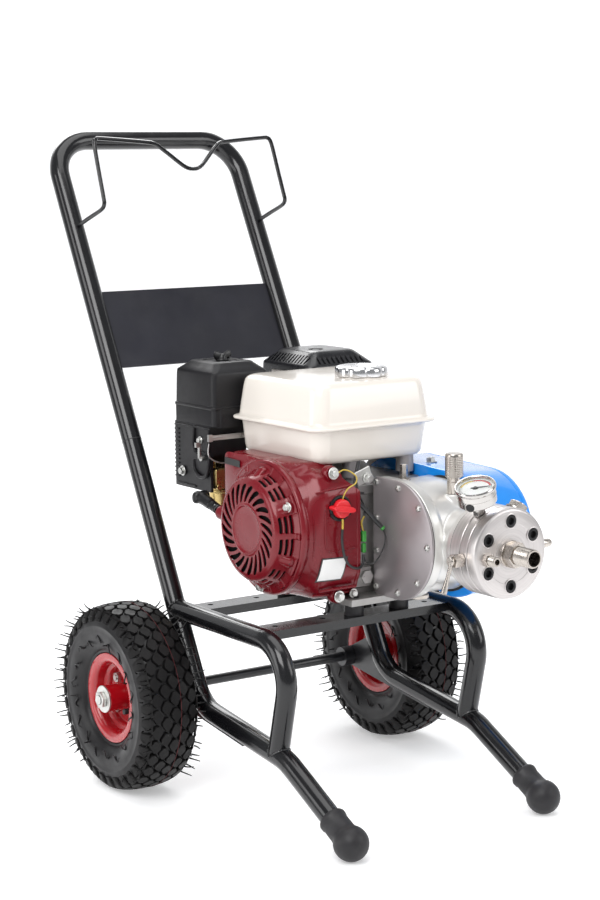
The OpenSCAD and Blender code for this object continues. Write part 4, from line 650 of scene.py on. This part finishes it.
def muffler_guard():
    b = B(); cx, cy_ = 143, 64; EW, EH = -3, 24; rs = []
    for z, w, h, r in ((528, 120, 104, 12), (528, 124, 108, 14), (529.2, 125.2, 109.2, 14), (531.5, 125.2, 109.2, 14), (533, 124, 108, 14), (550, 123, 107, 14), (563, 122.4, 106.4, 14), (566, 120.6, 104.6, 14), (569.5, 113, 97, 14), (576, 98, 82, 13), (581.4, 86, 70, 12), (583.6, 80, 64, 12), (584.9, 74, 58, 11)):
        rs.append(xy(rrect(w + EW, h + EH, r, 8, cx, cy_), z))
    rs.append(xy(rrect(40, 30, 9, 8, cx, cy_), 584.9)); b.rings(rs, caps=(False, True))
    inner = []
    c = B()
    cav = [xy(rrect(w + EW, h + EH, r, 8, cx, cy_), z) for z, w, h, r in ((520, 120.4, 104.4, 12), (562, 118, 102, 12), (567, 110, 94, 12), (574, 95, 79, 12), (580, 82, 66, 11), (582.6, 72, 56, 10))]
    c.rings(cav)
    for i in range(13):      # slots down both long bevels and across the front
        for s in (-1, 1):
            y = cy_ + (i - 6) * 7.7
            c.box((cx + s * 51.5, y, 574), (11.5, 3.6, 15), Matrix.Rotation(radians(s * -20), 3, "Y"))
    for i in range(10):
        x = cx + (i - 4.5) * 8.4; c.box((x, cy_ - 57.2, 574), (3.8, 10.5, 15), Matrix.Rotation(radians(-20), 3, "X"))
    c.lathe([(0.1, 582.2), (11.5, 582.2), (12, 590), (0.1, 590)], (133, 53, 0), (0, 0, 1), 40, 0, closed=False)
    make(b, "muffler_guard_pressed", GUARDB, "cart", ("muffler_guard",), smooth=34, cuts=c)
    b = B(); b.lathe([(0.1, 581), (11.2, 581), (11.2, 581.8), (6, 582.2), (5.4, 584.4), (0.1, 584.6)], (133, 53, 0), (0, 0, 1), 36, 0, closed=False); make(b, "guard_plug", PLAS2, "cart")
    b = B()
    for (x, y) in ((96, -2), (190, -2)): b.bolt((x, y - 1.6, 546), (0, -1, 0), 8)
    make(b, "guard_bolts", ZINC, "cart", smooth=30)
muffler_guard()
def tank():
    b = B(); rs = []
    for z, w, h, r, cx, cyy in ((456.6, 60, 70, 12, 47, -110), (457.2, 150, 160, 16, 47, -110), (457.8, 168, 178, 19, 47, -110), (459.4, 176, 186, 21, 47, -110), (462.4, 181.5, 191.5, 22, 47, -110), (468, 184, 194, 22, 47.3, -110), (484, 187, 197, 22, 47.6, -110), (499, 190, 200, 22, 48, -110), (502.6, 191.4, 201.4, 22, 48, -110), (503.8, 194, 204, 22, 48, -110),
        (504.2, 205, 213, 22, 48, -110), (505, 208.6, 216.6, 22, 48, -110), (506.6, 210, 218, 22, 48, -110), (508.4, 209, 217, 22, 48, -110), (509.4, 205.6, 213.6, 22, 48, -110), (509.8, 199, 208, 22, 48, -109.4), (511.4, 195.6, 205.4, 22, 48, -109), (515, 194.6, 204.4, 22, 48, -109), (528, 192, 202, 22, 48, -109), (546, 187.6, 197.6, 22, 48, -109),
        (556, 184.6, 194.6, 22, 48, -109), (560.4, 182, 192, 21.6, 48, -109), (563.2, 178, 188, 21, 48, -109), (565.2, 172, 182, 20, 48, -109), (566.4, 164, 174, 19, 48, -109), (567.0, 150, 160, 18, 48, -109), (567.4, 110, 120, 16, 48, -109), (567.6, 40, 46, 9, 48, -109)):
        rs.append(xy(rrect(w, h, r, 12, cx, cyy, crown=1.2), z))
    b.rings(rs)
    b.lathe([(0.1, 566), (36, 566), (35.6, 567.6), (33.6, 568.2), (0.1, 568.2)], (62, -158, 0), (0, 0, 1), 56, 0, closed=False)
    o = make(b, "tank_pressed", IVORY, "cart", ("tank",), smooth=60)
    b = B(); 
    def sc(a, r, t): return 1.0 if r < 24 or t < 1 else 1 + 0.052 * (abs(cos(4 * a)) ** 0.6) - 0.03 * (1 - abs(cos(4 * a)) ** 0.5)
    b.lathe([(0.1, 0.6), (33, 0.6), (34.2, 1.4), (34.6, 3), (34.6, 10.5), (34, 12.4), (32.2, 14), (29, 15), (25.4, 15.2), (23.6, 14.6), (22.6, 13.9), (0.1, 13.7)], (62, -158, 567.6), (0, 0, 1), 128, 0, closed=False, rfun=sc)
    make(b, "tank_cap_scalloped", CHROME, "cap", ("tank_cap",), smooth=50)
tank()
def wires():
    b = B()   # orange lead, black loop, sleeve
    b.tube(catmull([(-30, -241, 390), (-31, -242.5, 384), (-32, -243, 376)], 12), 1.5, 8, 1)
    P = catmull([(-32, -243, 377), (-33.5, -244, 362), (-30, -244, 342), (-21, -243.5, 327), (-6, -242, 321), (6, -236, 325), (10.5, -232, 336)], 60); b.tube(P, 1.9, 10, 0)
    P = catmull([(-29, -240, 416), (-27, -241.5, 424), (-20, -241, 431), (-8, -240, 436), (-5, -238, 444), (-14, -236, 452), (-24, -235.5, 455), (-32, -235, 452)], 44); b.tube(P, 0.95, 8, 1)
    P = catmull([(34, -244.6, 369), (35.4, -247.4, 361), (34.4, -246.5, 348), (30, -240, 331), (22, -235, 322.8), (14, -232, 326), (10.5, -231, 336)], 50); b.tube(P, 1.0, 8, 0)
    P = catmull([(4, -230, 407), (14, -233, 397), (24, -238.6, 383.5), (33, -243.8, 372.4)], 30); b.tube(P, [3.1] * 30, 14, 0)
    P = catmull([(4, -230, 407), (2, -226, 418), (6, -220, 436), (14, -213, 450), (20, -208, 458)], 30); b.tube(P, 2.4, 10, 0)
    P = catmull([(12.6, -231, 388), (7.4, -232, 381), (8.6, -232, 373), (10.6, -232, 367)], 24); b.tube(P, 1.3, 8, 1)
    P = catmull([(12.6, -231, 388), (15, -228, 400), (12, -222, 414), (10, -216, 430)], 24); b.tube(P, 1.3, 8, 0)
    P = catmull([(9.6, -231, 368), (4.4, -230, 378), (3.4, -228, 392), (6, -224, 408)], 24); b.tube(P, 1.5, 8, 0)
    b.box((14, -221.2, 418), (9, 6, 3), None, 0, 0.5)
    make(b, "engine_wiring_loom", [WIREB, WIREY], "cart", ("wiring",), smooth=50)
    b = B(); b.box((10.5, -232, 361), (6.4, 6.4, 15), None, 0, 1.0); b.box((10.5, -232, 345.5), (5.4, 5.4, 13), None, 0, 0.8); b.cyl((32.4, -243.5, 373), (34.6, -244.8, 370.3), 3.4, 18, 0, bev=0.6)
    make(b, "wire_connector", GREEN, "cart", smooth=35)
    b = B()   # bright stay between the engine and the pump, with its bolt
    b.box((18, -222, 441), (26, 3, 20), Matrix.Rotation(radians(-18), 3, "Y"), 0, 0.8); b.bolt((24, -224, 438), (0, -1, 0), 10)
    make(b, "stay_plate", ZINC, "cart", smooth=30, bevel=0.6)
wires()
def crank_extra():
    b = B()   # cast ribs, covers, and front plate on the crankcase
    for z in (290, 300, 312): b.box((66, -205.4, z), (100, 3, 2.6), None, 0, 0.6)
    b.box((68, -206.6, 352), (44, 4.4, 38), None, 0, 1.2)
    b.box((66, -204, 419), (104, 7, 14), None, 0, 1.2)
    for x in (16, 116): b.box((x, -206, 352), (6, 5, 118), None, 0, 1.2)
    b.box((24, -207, 300), (32, 8, 30), None, 0, 2.0)
    for (x, z) in ((12, 320), (60, 320)): b.cyl((x, -205, z), (x, -211, z), 7, 28, 0, bev=0.8)
    rs = [yz([(CR[0] + r * cos(a), CR[1] + r * sin(a)) for a in ANG[::3]], x) for x, r in ((138, 60), (139.6, 62), (141, 61), (142, 48))]; b.rings(rs)
    make(b, "crankcase_castings", CAST, "cart", smooth=36, bevel=0.6)
    b = B()
    for (x, z) in ((12, 320), (60, 320)): b.bolt((x, -211, z), (0, -1, 0), 9)
    b.bolt((101, -205.5, 300), (0, -1, 0), 12)
    for i in range(6):
        a = radians(i * 60 + 12); b.bolt((138, CR[0] + 76 * cos(a), CR[1] + 76 * sin(a)), (1, 0, 0), 9)
    make(b, "crankcase_bolts", ZINC, "cart", smooth=30)
crank_extra()

# ------------------------------------------------------------------ belt guard and pump
def belt_guard():
    b = B(); rs = []
    for x, d in ((124.2, 5), (124.2, 1.6), (124.6, 0.6), (125.4, 0.1), (126.4, 0), (150.4, 0), (170, 0), (189.6, 0), (190.2, 0.2), (190.7, 0.9), (191.3, 0.9), (191.8, 0.2), (192.4, 0), (196, 0.3), (199, 1.3), (201.2, 3.2), (202.5, 5.8), (203, 9), (203, 14), (202.7, 16), (202.5, 30)):
        rs.append(yz(loop_pts(CR, 76 - d, (-275, PA[1]), 86 - d, 60), x))
    b.rings(rs, caps=(True, True))
    c = B(); c.rings([yz(loop_pts(CR, 73.6, (-275, PA[1]), 83.6, 60), x) for x in (127, 199)])
    for p in (CR, PA): c.lathe([(0.1, 118), (24, 118), (24, 130), (0.1, 130)], (0, p[0], p[1]), (1, 0, 0), 48, 0, closed=False)
    make(b, "belt_guard_pressed", BLUE, "cart", ("belt_guard",), smooth=34, cuts=c)
    b = B(); b.bolt((150, -200, 444.4), (0, 0.1, 1), 11); make(b, "guard_top_bolt", ZINC, "cart", smooth=30)
    b = B()
    for s in ((-140, 371 - 0, 0), ): pass
    for (y, z) in ((-112, 388), (-330, 340)): b.bolt((203, y, z), (1, 0, 0), 9)
    b.box((150, -200, 441), (18, 18, 6), None, 0, 1.0)
    make(b, "belt_guard_bolts", BLUE, "cart", smooth=30)
belt_guard()
def dprof(r, back, n=72):
    """round front, flat back at y=back"""
    a0 = 180 - 78; p = arc(PA[0], PA[1], r, 90, 270, n)
    yb = back
    p += [(yb - 9, PA[1] - r)] + arc(yb - 9, PA[1] - r + 9, 9, 270, 360, 6)[1:] + arc(yb - 9, PA[1] + r - 9, 9, 0, 90, 6) + [(yb - 12, PA[1] + r)]
    return p
def pump():
    SPl = [(-222, 431), (-271, 428.5), (-315, 407), (-333.5, 357), (-312, 306), (-269, 286), (-221, 287), (-222, 337), (-222, 382)]
    b = B()                                   # the cover plate
    rs = [yz(dprof(r, bk), x) for x, r, bk in ((43.3, 80.6, -214.2), (43.3, 81, -214), (41.0, 81, -214), (40.3, 80.6, -214.3), (40.0, 79.8, -215))]; b.rings(rs)
    b.cyl((41, PA[0] + 6, PA[1]), (39.7, PA[0] + 6, PA[1]), 2.0, 16)
    make(b, "cover_plate", PLATE, "cart", ("side_plate",), smooth=30)
    b = B(); b.rings([yz(dprof(80.3, -214.6), x) for x in (43.3, 44.9)]); make(b, "cover_gasket", GASKET_AND_SHADE, "cart")
    b = B()
    for y, z in SPl:
        b.lathe([(2.0, 0), (4.6, 0), (4.8, 0.5), (4.8, 0.9), (2.0, 0.9)], (40, y, z), (-1, 0, 0), 28)
        b.lathe([(0.1, 0.9), (3.9, 0.9), (4.0, 1.5), (3.6, 2.6), (2.4, 3.2), (1.4, 3.3), (1.4, 2.0), (0.1, 2.0)], (40, y, z), (-1, 0, 0), 28, 0, closed=False)
    make(b, "cover_screws", ZINC, "cart", ("plate_screws",), smooth=35)
    # housing: rim, drum with a waist, boss towards the head
    b = B()
    rs = [yz(dprof(r, bk), x) for x, r, bk in ((44.9, 79.4, -214.8), (45.1, 80.2, -214.2), (47, 80.3, -214), (58.5, 80.3, -214), (60.6, 79.6, -214.6), (62.2, 77.6, -216.4), (63.4, 75.6, -219), (66, 74.6, -220), (90, 74.8, -220), (118, 76, -220), (138, 77.4, -219), (147.6, 77.5, -219), (148.1, 77, -219.6))]
    b.rings(rs)
    o = (PX, PA[0], HZ)
    R = []
    for y, r in ((-263, 45), (-318, 45), (-340, 45.6), (-350, 48), (-358, 54), (-363, 57.4), (-371, 57.8), (-372.4, 58), (-373.2, 57.6)):
        R.append([Vector((PX + r * cos(a), y, HZ + r * sin(a))) for a in [2 * pi * i / 96 for i in range(96)]])
    b.rings(R)
    b.lathe([(0.1, -12), (14.6, -12), (14.2, 6), (13.4, 10), (12.9, 14), (12.8, 19), (12.2, 20), (0.1, 20)], (PX, -308, 399.6), (0, 0, 1), 48, 0, closed=False)
    b.lathe([(0.1, 0), (13, 0), (11, 5), (10.4, 9), (10, 9.8), (0.1, 9.8)], (74, -238, 422.4), (0, 0, 1), 40, 0, closed=False)
    b.lathe([(0.1, -8), (11.5, -8), (11.5, 1.2), (0.1, 1.2)], (76, -268, 281), (0, 0, -1), 40, 0, closed=False)
    make_h = make(b, "pump_housing_cast", SILVER, "cart", smooth=45, rep=("pump_housing",))
    rm = make_h.modifiers.new("merge", "REMESH"); rm.mode = "VOXEL"; rm.voxel_size = 0.0013; rm.use_smooth_shade = True
    sm = make_h.modifiers.new("soft", "SMOOTH"); sm.iterations = 5; sm.factor = 0.5
    b = B(); b.tube([(59, PA[0] - 78.6, 361), (62.5, PA[0] - 75.8, 361), (67, PA[0] - 74.6, 361), (78, PA[0] - 74.6, 361), (90, PA[0] - 74.6, 361)], 1.3, 10); make(b, "housing_parting_line", SILVER, "cart", smooth=50)
    b = B(); b.lathe([(0.1, 1), (13, 1), (13.6, 1.6), (13.6, 5.4), (12.8, 6.2), (9, 6.4), (8.4, 7.4), (0.1, 7.6)], (76, -268, 281), (0, 0, -1), 48, 0, closed=False); make(b, "housing_drain_plug", NICKEL, "cart", smooth=32)
    b = B(); b.rings([[Vector((PX + r * cos(a), y, HZ + r * sin(a))) for a in [2 * pi * i / 96 for i in range(96)]] for y, r in ((-372.4, 57), (-372.6, 58.8), (-373.8, 59.2), (-374.1, 58))]); make(b, "head_gasket", GASKET_AND_SHADE, "cart")
    b = B()                                   # gasket between guard and drum
    b.rings([yz([(PA[0] + r * cos(a), PA[1] + r * sin(a)) for a in [2 * pi * i / 96 for i in range(96)]], x) for x, r in ((122.2, 78.6), (122.2, 79.6), (124.1, 79.6), (124.1, 78))]); make(b, "guard_gasket", GASKET_AND_SHADE, "cart")
    # bracket that carries the pump on the engine
    b = B(); b.rings([yz([(y, z) for y, z in ((-222, 288), (-204.8, 294), (-204.8, 428), (-222, 429))], x) for x in (66, 120)])
    make(b, "pump_flange", SILVER, "cart", smooth=30, bevel=2.5, seg=4)
    b = B()
    for (x, z) in ((76, 300), (112, 300), (76, 420)): b.bolt((x, -221.8, z), (0, -1, 0), 10)
    make(b, "pump_flange_bolts", ZINC, "cart", smooth=30)
pump()
def head():
    b = B(); prof = [(9, 16), (58.6, 16), (59.5, 16.3), (60, 17), (60, 34.6), (59.5, 35.3), (58.4, 35.5), (58.4, 36.3), (59.5, 36.5), (60, 37.2), (60, 49.4), (59.5, 50.1), (58.4, 50.3), (58.4, 51.1), (59.5, 51.3), (60, 52), (60, 62.8), (59.2, 65.2), (57.6, 66.5), (56, 67), (40, 67), (39.4, 66.6), (24, 66.6), (23.4, 67), (9, 67)]
    b.lathe(prof, (PX, -357.8, HZ), (0, -1, 0), 144, 0)
    c = B()
    for i in range(6):
        a = radians(30 + 60 * i); q = (PX + 43 * cos(a), -424.9, HZ + 43 * sin(a))
        c.cyl((q[0], -414, q[2]), (q[0], -432, q[2]), 8.5, 40)
    g = Vector((76, -397, 406)); gd = Vector((-0.32, -0.17, 0.93)).normalized(); c.cyl(g + gd * 0.8, g + gd * 40, 8.6, 32)
    make(b, "head_turned", HEAD, "cart", ("pump_head",), smooth=24, cuts=c)
    b = B(); rb = B()
    for i in range(6):
        a = radians(30 + 60 * i); q = (PX + 43 * cos(a), -418, HZ + 43 * sin(a))
        b.lathe([(0.1, -4), (7.6, -4), (8, -3.4), (8, 6.6), (7.4, 7.6), (5.4, 7.9), (4.9, 7.4), (4.9, 2.5), (0.1, 2.0)], q, (0, -1, 0), 40, 0, closed=False)
        b.hexn((q[0], -421.0, q[2]), (0, -1, 0), 8.4, 0.6) if False else None
        rb.lathe([(8.45, 6.7), (8.7, 6.5), (10.0, 6.7), (10.3, 7.1), (10, 7.35), (8.7, 7.4)], q, (0, -1, 0), 48, 0)
        ring = [Vector((q[0] + 4.9 * cos(t), 0, q[2] + 4.9 * sin(t))) for t in [2 * pi * k / 24 for k in range(24)]]
    make(b, "head_socket_screws", OXIDE, "cart", ("head_screws",), smooth=35); make(rb, "screw_seats", HEAD, "cart", smooth=40)
    # gauge
    b = B(); b.hexn(g + gd * 1.4, gd, 14, 7.4, 0, ph=0.2); b.cyl(g - gd * 12, g + gd * 20, 5, 24); b.lathe([(0.1, 8.6), (7.4, 8.6), (7.4, 10.4), (0.1, 10.4)], g, gd, 28, 0, closed=False)
    g0 = g; g = g + gd * 10
    b.lathe([(0.1, 7.4), (10, 7.4), (11, 9), (22, 9.3), (24.4, 10), (25.6, 11.6), (25.6, 27.6), (25.4, 28.4), (26.3, 28.9), (27.1, 30), (27.3, 32), (27.0, 33.8), (26.2, 34.8), (25.2, 34.9), (24.5, 34.2), (24.2, 32.4), (24.2, 29.4), (0.1, 29.4)], g, gd, 96, 0, closed=False)
    b.lathe([(25.4, 20), (25.95, 20.3), (25.95, 21.2), (25.4, 21.5)], g, gd, 96)
    make(b, "gauge_case", STAIN, "cart", ("gauge",), smooth=32)
    b = B(); b.lathe([(0.1, 29.3), (24.1, 29.3), (24.1, 29.8), (0.1, 29.8)], g, gd, 72, 0, closed=False); make(b, "gauge_dial", DIAL, "cart")
    u, w, d = frame_of(gd)
    def D(r, a, t): return g + gd * t + (u * cos(a) + w * sin(a)) * r
    def sect(bb, r0, r1, a0, a1, n=24):
        t0, t1 = 29.75, 30.0; lo = []; 
        rs = [[D(r0, radians(a0 + (a1 - a0) * i / n), t0), D(r1, radians(a0 + (a1 - a0) * i / n), t0), D(r1, radians(a0 + (a1 - a0) * i / n), t1), D(r0, radians(a0 + (a1 - a0) * i / n), t1)] for i in range(n + 1)]
        bb.rings(rs)
    b = B(); sect(b, 18.4, 20.4, 60, 150); make(b, "dial_red", INKR, "cart"); b = B(); sect(b, 18.4, 20.4, 150, 215); make(b, "dial_yellow", INKY, "cart")
    b = B(); sect(b, 21.0, 21.5, 45, 315, 60)
    for i in range(31): a = 45 + 9 * i; sect(b, 16.4 if i % 5 == 0 else 18.0, 21.2, a - 0.7, a + 0.7, 1)
    sect(b, 2, 4, 0, 360, 24); make(b, "dial_marks", INK, "cart")
    b = B(); b.lathe([(0.1, 32.3), (24.3, 32.3), (24.3, 33.4), (0.1, 33.4)], g, gd, 72, 0, closed=False); make(b, "gauge_window", GLS, "cart")
    b = B(); pd = Vector((-0.5573, -0.8177, 0.144)) - Vector((0.8263, -0.5632, 0)) * 0.5; pd = (pd - gd * pd.dot(gd)).normalized(); b.lathe([(0.1, 0), (5.4, 0), (5.8, 0.6), (5.4, 1.6), (3.4, 2.2), (0.1, 2.3)], g + gd * 15.5 + pd * 25.0, pd, 28, 0, closed=False); make(b, "gauge_plug", OXIDE, "cart")
    b = B(); b.lathe([(0.1, 29.9), (2.4, 29.9), (2.4, 31.2), (1.8, 31.8), (0.1, 31.8)], g, gd, 28, 0, closed=False); na = radians(52); pv = u * cos(na) + w * sin(na); qv = gd.cross(pv)
    b.rings([[g + gd * 30.4 + pv * a + qv * h for a, h in ((-6, -1.2), (16.5, -0.5), (18.2, 0), (16.5, 0.5), (-6, 1.2))], [g + gd * 31.0 + pv * a + qv * h for a, h in ((-6, -1.2), (16.5, -0.5), (18.2, 0), (16.5, 0.5), (-6, 1.2))]])
    make(b, "needle_pointer", INK, "needle", ("gauge_needle",))
head()
def fittings():
    # knurled pressure knob
    b = B(); o = (PX, -308, 412); n = 160
    def kn(a, r, t): return 1.0 if (t < 31 or t > 58.6) or r < 11.6 else (1.0 + 0.016 * abs(sin(36 * a)) + (0.012 if int(t / 1.16) % 2 else 0.0))
    prof = [(0.1, 8), (9.4, 8), (9.6, 9), (9.6, 24), (9.0, 24.6), (9.0, 29.2), (9.4, 30), (11, 30), (11.8, 30.5), (11.9, 31.5)] + [(11.9, 31.5 + 27 * i / 46) for i in range(1, 46)] + [(11.9, 58.6), (11.9, 60.2), (11.6, 61.2), (10.8, 62), (6, 62), (0.1, 62)]
    b.lathe(prof, o, (0, 0, 1), n, 0, closed=False, rfun=kn); b.v and None; make(b, "pressure_knob_knurled", NICKEL, "knob", ("pressure_knob",), smooth=30)
    # plugs
    b = B(); c = Vector((PX, -394, HZ)); d = Vector((0.57, 0, 0.82)).normalized()
    b.cyl(c + d * 46, c + d * 61, 7, 24); b.lathe([(0.1, 59.4), (14.6, 59.4), (15, 60), (15, 61.4), (0.1, 61.4)], c, d, 40, 0, closed=False); b.hexn(c + d * 61.2, d, 24, 8, 0, ph=0.4)
    b.lathe([(0.1, 69), (11, 69), (10.4, 70.4), (0.1, 70.6)], c, d, 36, 0, closed=False)
    b.cyl((151, -411, 360), (184, -411, 360), 4, 20); b.lathe([(0.1, 164.6), (8, 164.6), (8, 169), (5.6, 169.4), (5.6, 181), (4.8, 183), (0.1, 183)], (0, -411, 360), (1, 0, 0), 28, 0, closed=False)
    b.lathe([(0.1, 160), (9, 160), (9.4, 161), (9.4, 164.8), (0.1, 164.8)], (0, -411, 360), (1, 0, 0), 6, 0, closed=False)
    b.cyl((74, -238, 428), (74, -238, 452), 4.6, 24, 0, bev=0.8); b.lathe([(0.1, 432), (9, 432), (9.6, 432.6), (9.6, 434.4), (9, 435), (0.1, 435)], (74, -238, 0), (0, 0, 1), 40, 0, closed=False); b.hexn((74, -238, 435), (0, 0, 1), 9.4, 19, 0)
    make(b, "head_plug_set", NICKEL, "cart", ("head_plugs",), smooth=32)
    b = B(); b.cyl((56, -398, 351), (37, -398, 351), 5, 24); b.hexn((44.5, -398, 351), (-1, 0, 0), 17, 14, 0, ph=0.2); b.lathe([(0.1, 0), (8.2, 0), (8.4, 2), (7, 5), (5.8, 6.4), (5.8, 7.2), (0.1, 7.2)], (37.6, -398, 351), (-1, 0, 0), 32, 0, closed=False)
    make(b, "drain_valve_body", NICKEL, "cart", ("drain_valve",), smooth=32)
    b = B(); b.lathe([(0.1, 0.2), (5.6, 0.2), (6, 0.8), (6, 4.8), (5.4, 5.6), (0.1, 5.6)], (30.2, -398, 351), (-1, 0, 0), 28, 0, closed=False)
    P = [(26.6, -398.4, 350), (26.2, -398.6, 343), (23.6, -397, 331), (20.6, -395.4, 318), (18.6, -394.4, 309)]; Q = catmull(P, 24); b.tube(Q, [2.7 + 1.3 * sstep(0.5, 0.95, i / 23) - (1.2 if i > 22 else 0) for i in range(24)], 14)
    make(b, "drain_lever_forged", NICKEL, "drain", ("drain_lever",), smooth=50)
    # threaded inlet
    def thread(bb, o, d, r0, L, pitch, depth, n=48, mi=0, bore=0.0):
        u, w, dd = frame_of(d); o = Vector(o); turns = L / pitch; N = int(turns * n); ring = []
        m = max(12, int(L / pitch * 8)); vs = []
        for i in range(n):
            a = 2 * pi * i / n
            for j in range(m + 1):
                t = L * j / m; ph = (t / pitch - a / (2 * pi)) % 1.0; tri = 1 - abs(2 * ph - 1)
                e = min(1, min(t, L - t) / pitch); r = r0 - depth * (1 - tri) * 1.0 - depth * (1 - e) * 0.8
                vs.append(o + dd * t + (u * cos(a) + w * sin(a)) * r)
        k = m + 1; base = len(vs); rb = bore if bore else 0.05
        for i in range(n):
            a = 2 * pi * i / n; vs.append(o + (u * cos(a) + w * sin(a)) * rb); vs.append(o + dd * L + (u * cos(a) + w * sin(a)) * rb)
        fs = [[i * k + j, ((i + 1) % n) * k + j, ((i + 1) % n) * k + j + 1, i * k + j + 1] for i in range(n) for j in range(m)]
        for i in range(n):
            q = (i + 1) % n; fs.append([base + 2 * i, base + 2 * q, q * k, i * k]); fs.append([i * k + m, q * k + m, base + 2 * q + 1, base + 2 * i + 1]); fs.append([base + 2 * i + 1, base + 2 * q + 1, base + 2 * q, base + 2 * i])
        bb.add(vs, fs, mi)
    b = B(); b.lathe([(8, 0), (17.6, 0), (18, 0.6), (18, 2.0), (17.4, 2.6), (8, 2.6)], (PX, -424.6, HZ), (0, -1, 0), 56)
    b.hexn((PX, -427, HZ), (0, -1, 0), 30, 14.6, 0, bore=8, ph=0.15, ch=1.2); thread(b, (PX, -441, HZ), (0, -1, 0), 12.5, 30, 2.3, 1.15, 64, 0, bore=9.8)
    b.lathe([(9.9, 0), (11.5, 0), (11.5, 0.9), (9.9, 0.9)], (PX, -470.2, HZ), (0, -1, 0), 56)
    make(b, "inlet_threaded", NICKEL, "cart", ("inlet_fitting",), smooth=28)
    # dark disc inside the inlet bore: painted shade
    b = B(); b.lathe([(0.1, 0), (9.7, 0), (9.7, 1), (0.1, 1)], (PX, -444, HZ), (0, -1, 0), 32, 0, closed=False); make(b, "inlet_bore_painted_shade", GASKET_AND_SHADE, "cart")
    b = B(); b.hexn((65, -424.7, 353), (0, -1, 0), 15.5, 8, 0, bore=3.4); thread(b, (65, -432.4, 353), (0, -1, 0), 6.6, 13.4, 1.7, 0.8, 40, 0, bore=3.9)
    make(b, "outlet_threaded", NICKEL, "cart", ("outlet_fitting",), smooth=28)
fittings()

# ------------------------------------------------------------------ CAD nodes kept: small bevels for the light to catch
for n, w in (("cross_rails", 1.2), ("name_panel", 0.5), ("axle_brackets", 0.8), ("snap_button_left", 0.6), ("snap_button_right", 0.6), ("air_base", 1.0), ("cylinder_head", 0.8), ("crankcase", 1.6),
             ("dipstick", 0.8), ("tank_posts", 1.0), ("rubber_mounts", 1.2), ("rim_bolts_left", 0.5), ("rim_bolts_right", 0.5), ("throttle_lever", 0.5), ("choke_lever", 0.5)):
    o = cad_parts[n]; md = o.modifiers.new("edge", "BEVEL"); md.width = w / 1000; md.segments = 2; md.limit_method = "ANGLE"; md.angle_limit = radians(40)
for n in NM:
    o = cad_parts[n]
    if o.hide_render or not o.data.polygons: continue
    wn = o.modifiers.new("wn", "WEIGHTED_NORMAL"); wn.keep_sharp = True

# ------------------------------------------------------------------ stage
def stage():
    me = bpy.data.meshes.new("floor"); bm = bmesh.new(); R = 7.0; F = []; n = 24
    prof = [(-R, 0)] + [(2.6 + 1.6 * sin(radians(a)), 1.6 - 1.6 * cos(radians(a))) for a in range(0, 91, 6)] + [(4.2, 6.0)]
    c, s = cos(radians(-34.3)), sin(radians(-34.3)); rows = []
    for (t, z) in prof: rows.append([bm.verts.new(((w * c - t * s), (w * s + t * c), z)) for w in (-R * 1.6, R * 1.6)])
    for i in range(len(rows) - 1): bm.faces.new((rows[i][0], rows[i][1], rows[i + 1][1], rows[i + 1][0]))
    for f in bm.faces: f.smooth = True
    bmesh.ops.recalc_face_normals(bm, faces=bm.faces); bm.to_mesh(me); bm.free()
    fl = bpy.data.objects.new("floor", me); bpy.context.scene.collection.objects.link(fl)
    m = MAT("floor_paper", (0.84, 0.84, 0.845), 0.7, 0, var=0.01, vs=2, rvar=0.05, bs=300, bump_s=0.03, spec=0.25); me.materials.append(m); pb = m.node_tree.nodes["Principled BSDF"]; pb.inputs["Emission Color"].default_value = (1, 1, 1, 1); pb.inputs["Emission Strength"].default_value = 0.34
    def area(nm, loc, tgt, sx, sy, e, col=(1, 1, 1)):
        L = bpy.data.lights.new(nm, "AREA"); L.shape = "RECTANGLE"; L.size = sx; L.size_y = sy; L.energy = e; L.color = col
        o = bpy.data.objects.new(nm, L); o.location = loc; o.rotation_euler = (Vector(tgt) - Vector(loc)).to_track_quat("-Z", "Y").to_euler(); bpy.context.scene.collection.objects.link(o)
    area("key", (-2.0, -1.5, 2.5), (0, -0.1, 0.4), 1.8, 1.8, 62); area("fill", (1.7, -2.3, 1.5), (0, -0.1, 0.4), 1.6, 1.6, 26); area("back", (0.6, 2.3, 2.3), (0, 0, 0.5), 2.2, 1.4, 46)
    area("side", (-2.8, 0.6, 1.0), (0, 0, 0.4), 1.2, 1.8, 20); area("top", (0, -0.2, 3.2), (0, -0.1, 0.3), 2.4, 2.4, 40)
    w = bpy.data.worlds.new("studio"); bpy.context.scene.world = w; w.use_nodes = True; bg = w.node_tree.nodes["Background"]; bg.inputs[0].default_value = (0.95, 0.97, 1.0, 1); bg.inputs[1].default_value = 0.36
    cam = bpy.data.cameras.new("cam"); co = bpy.data.objects.new("cam", cam); bpy.context.scene.collection.objects.link(co)
    az, el, ro = radians(-34.277), radians(8.277), radians(-0.592)
    back = Vector((sin(az) * cos(el), -cos(az) * cos(el), sin(el))); right = Vector((cos(az), sin(az), 0)); up = right.cross(-back).normalized()
    x = right * cos(ro) + up * sin(ro); y = -right * sin(ro) + up * cos(ro)
    co.matrix_world = Matrix(((x.x, y.x, back.x, -1.57107), (x.y, y.y, back.y, -2.33346), (x.z, y.z, back.z, 0.86961), (0, 0, 0, 1)))
    cam.lens = 81.34; cam.sensor_width = 36; cam.clip_start = 0.1; cam.clip_end = 60; bpy.context.scene.camera = co
    bpy.context.scene.view_settings.view_transform = "Standard"; bpy.context.scene.view_settings.exposure = 0.0
stage()
bpy.context.view_layer.update()
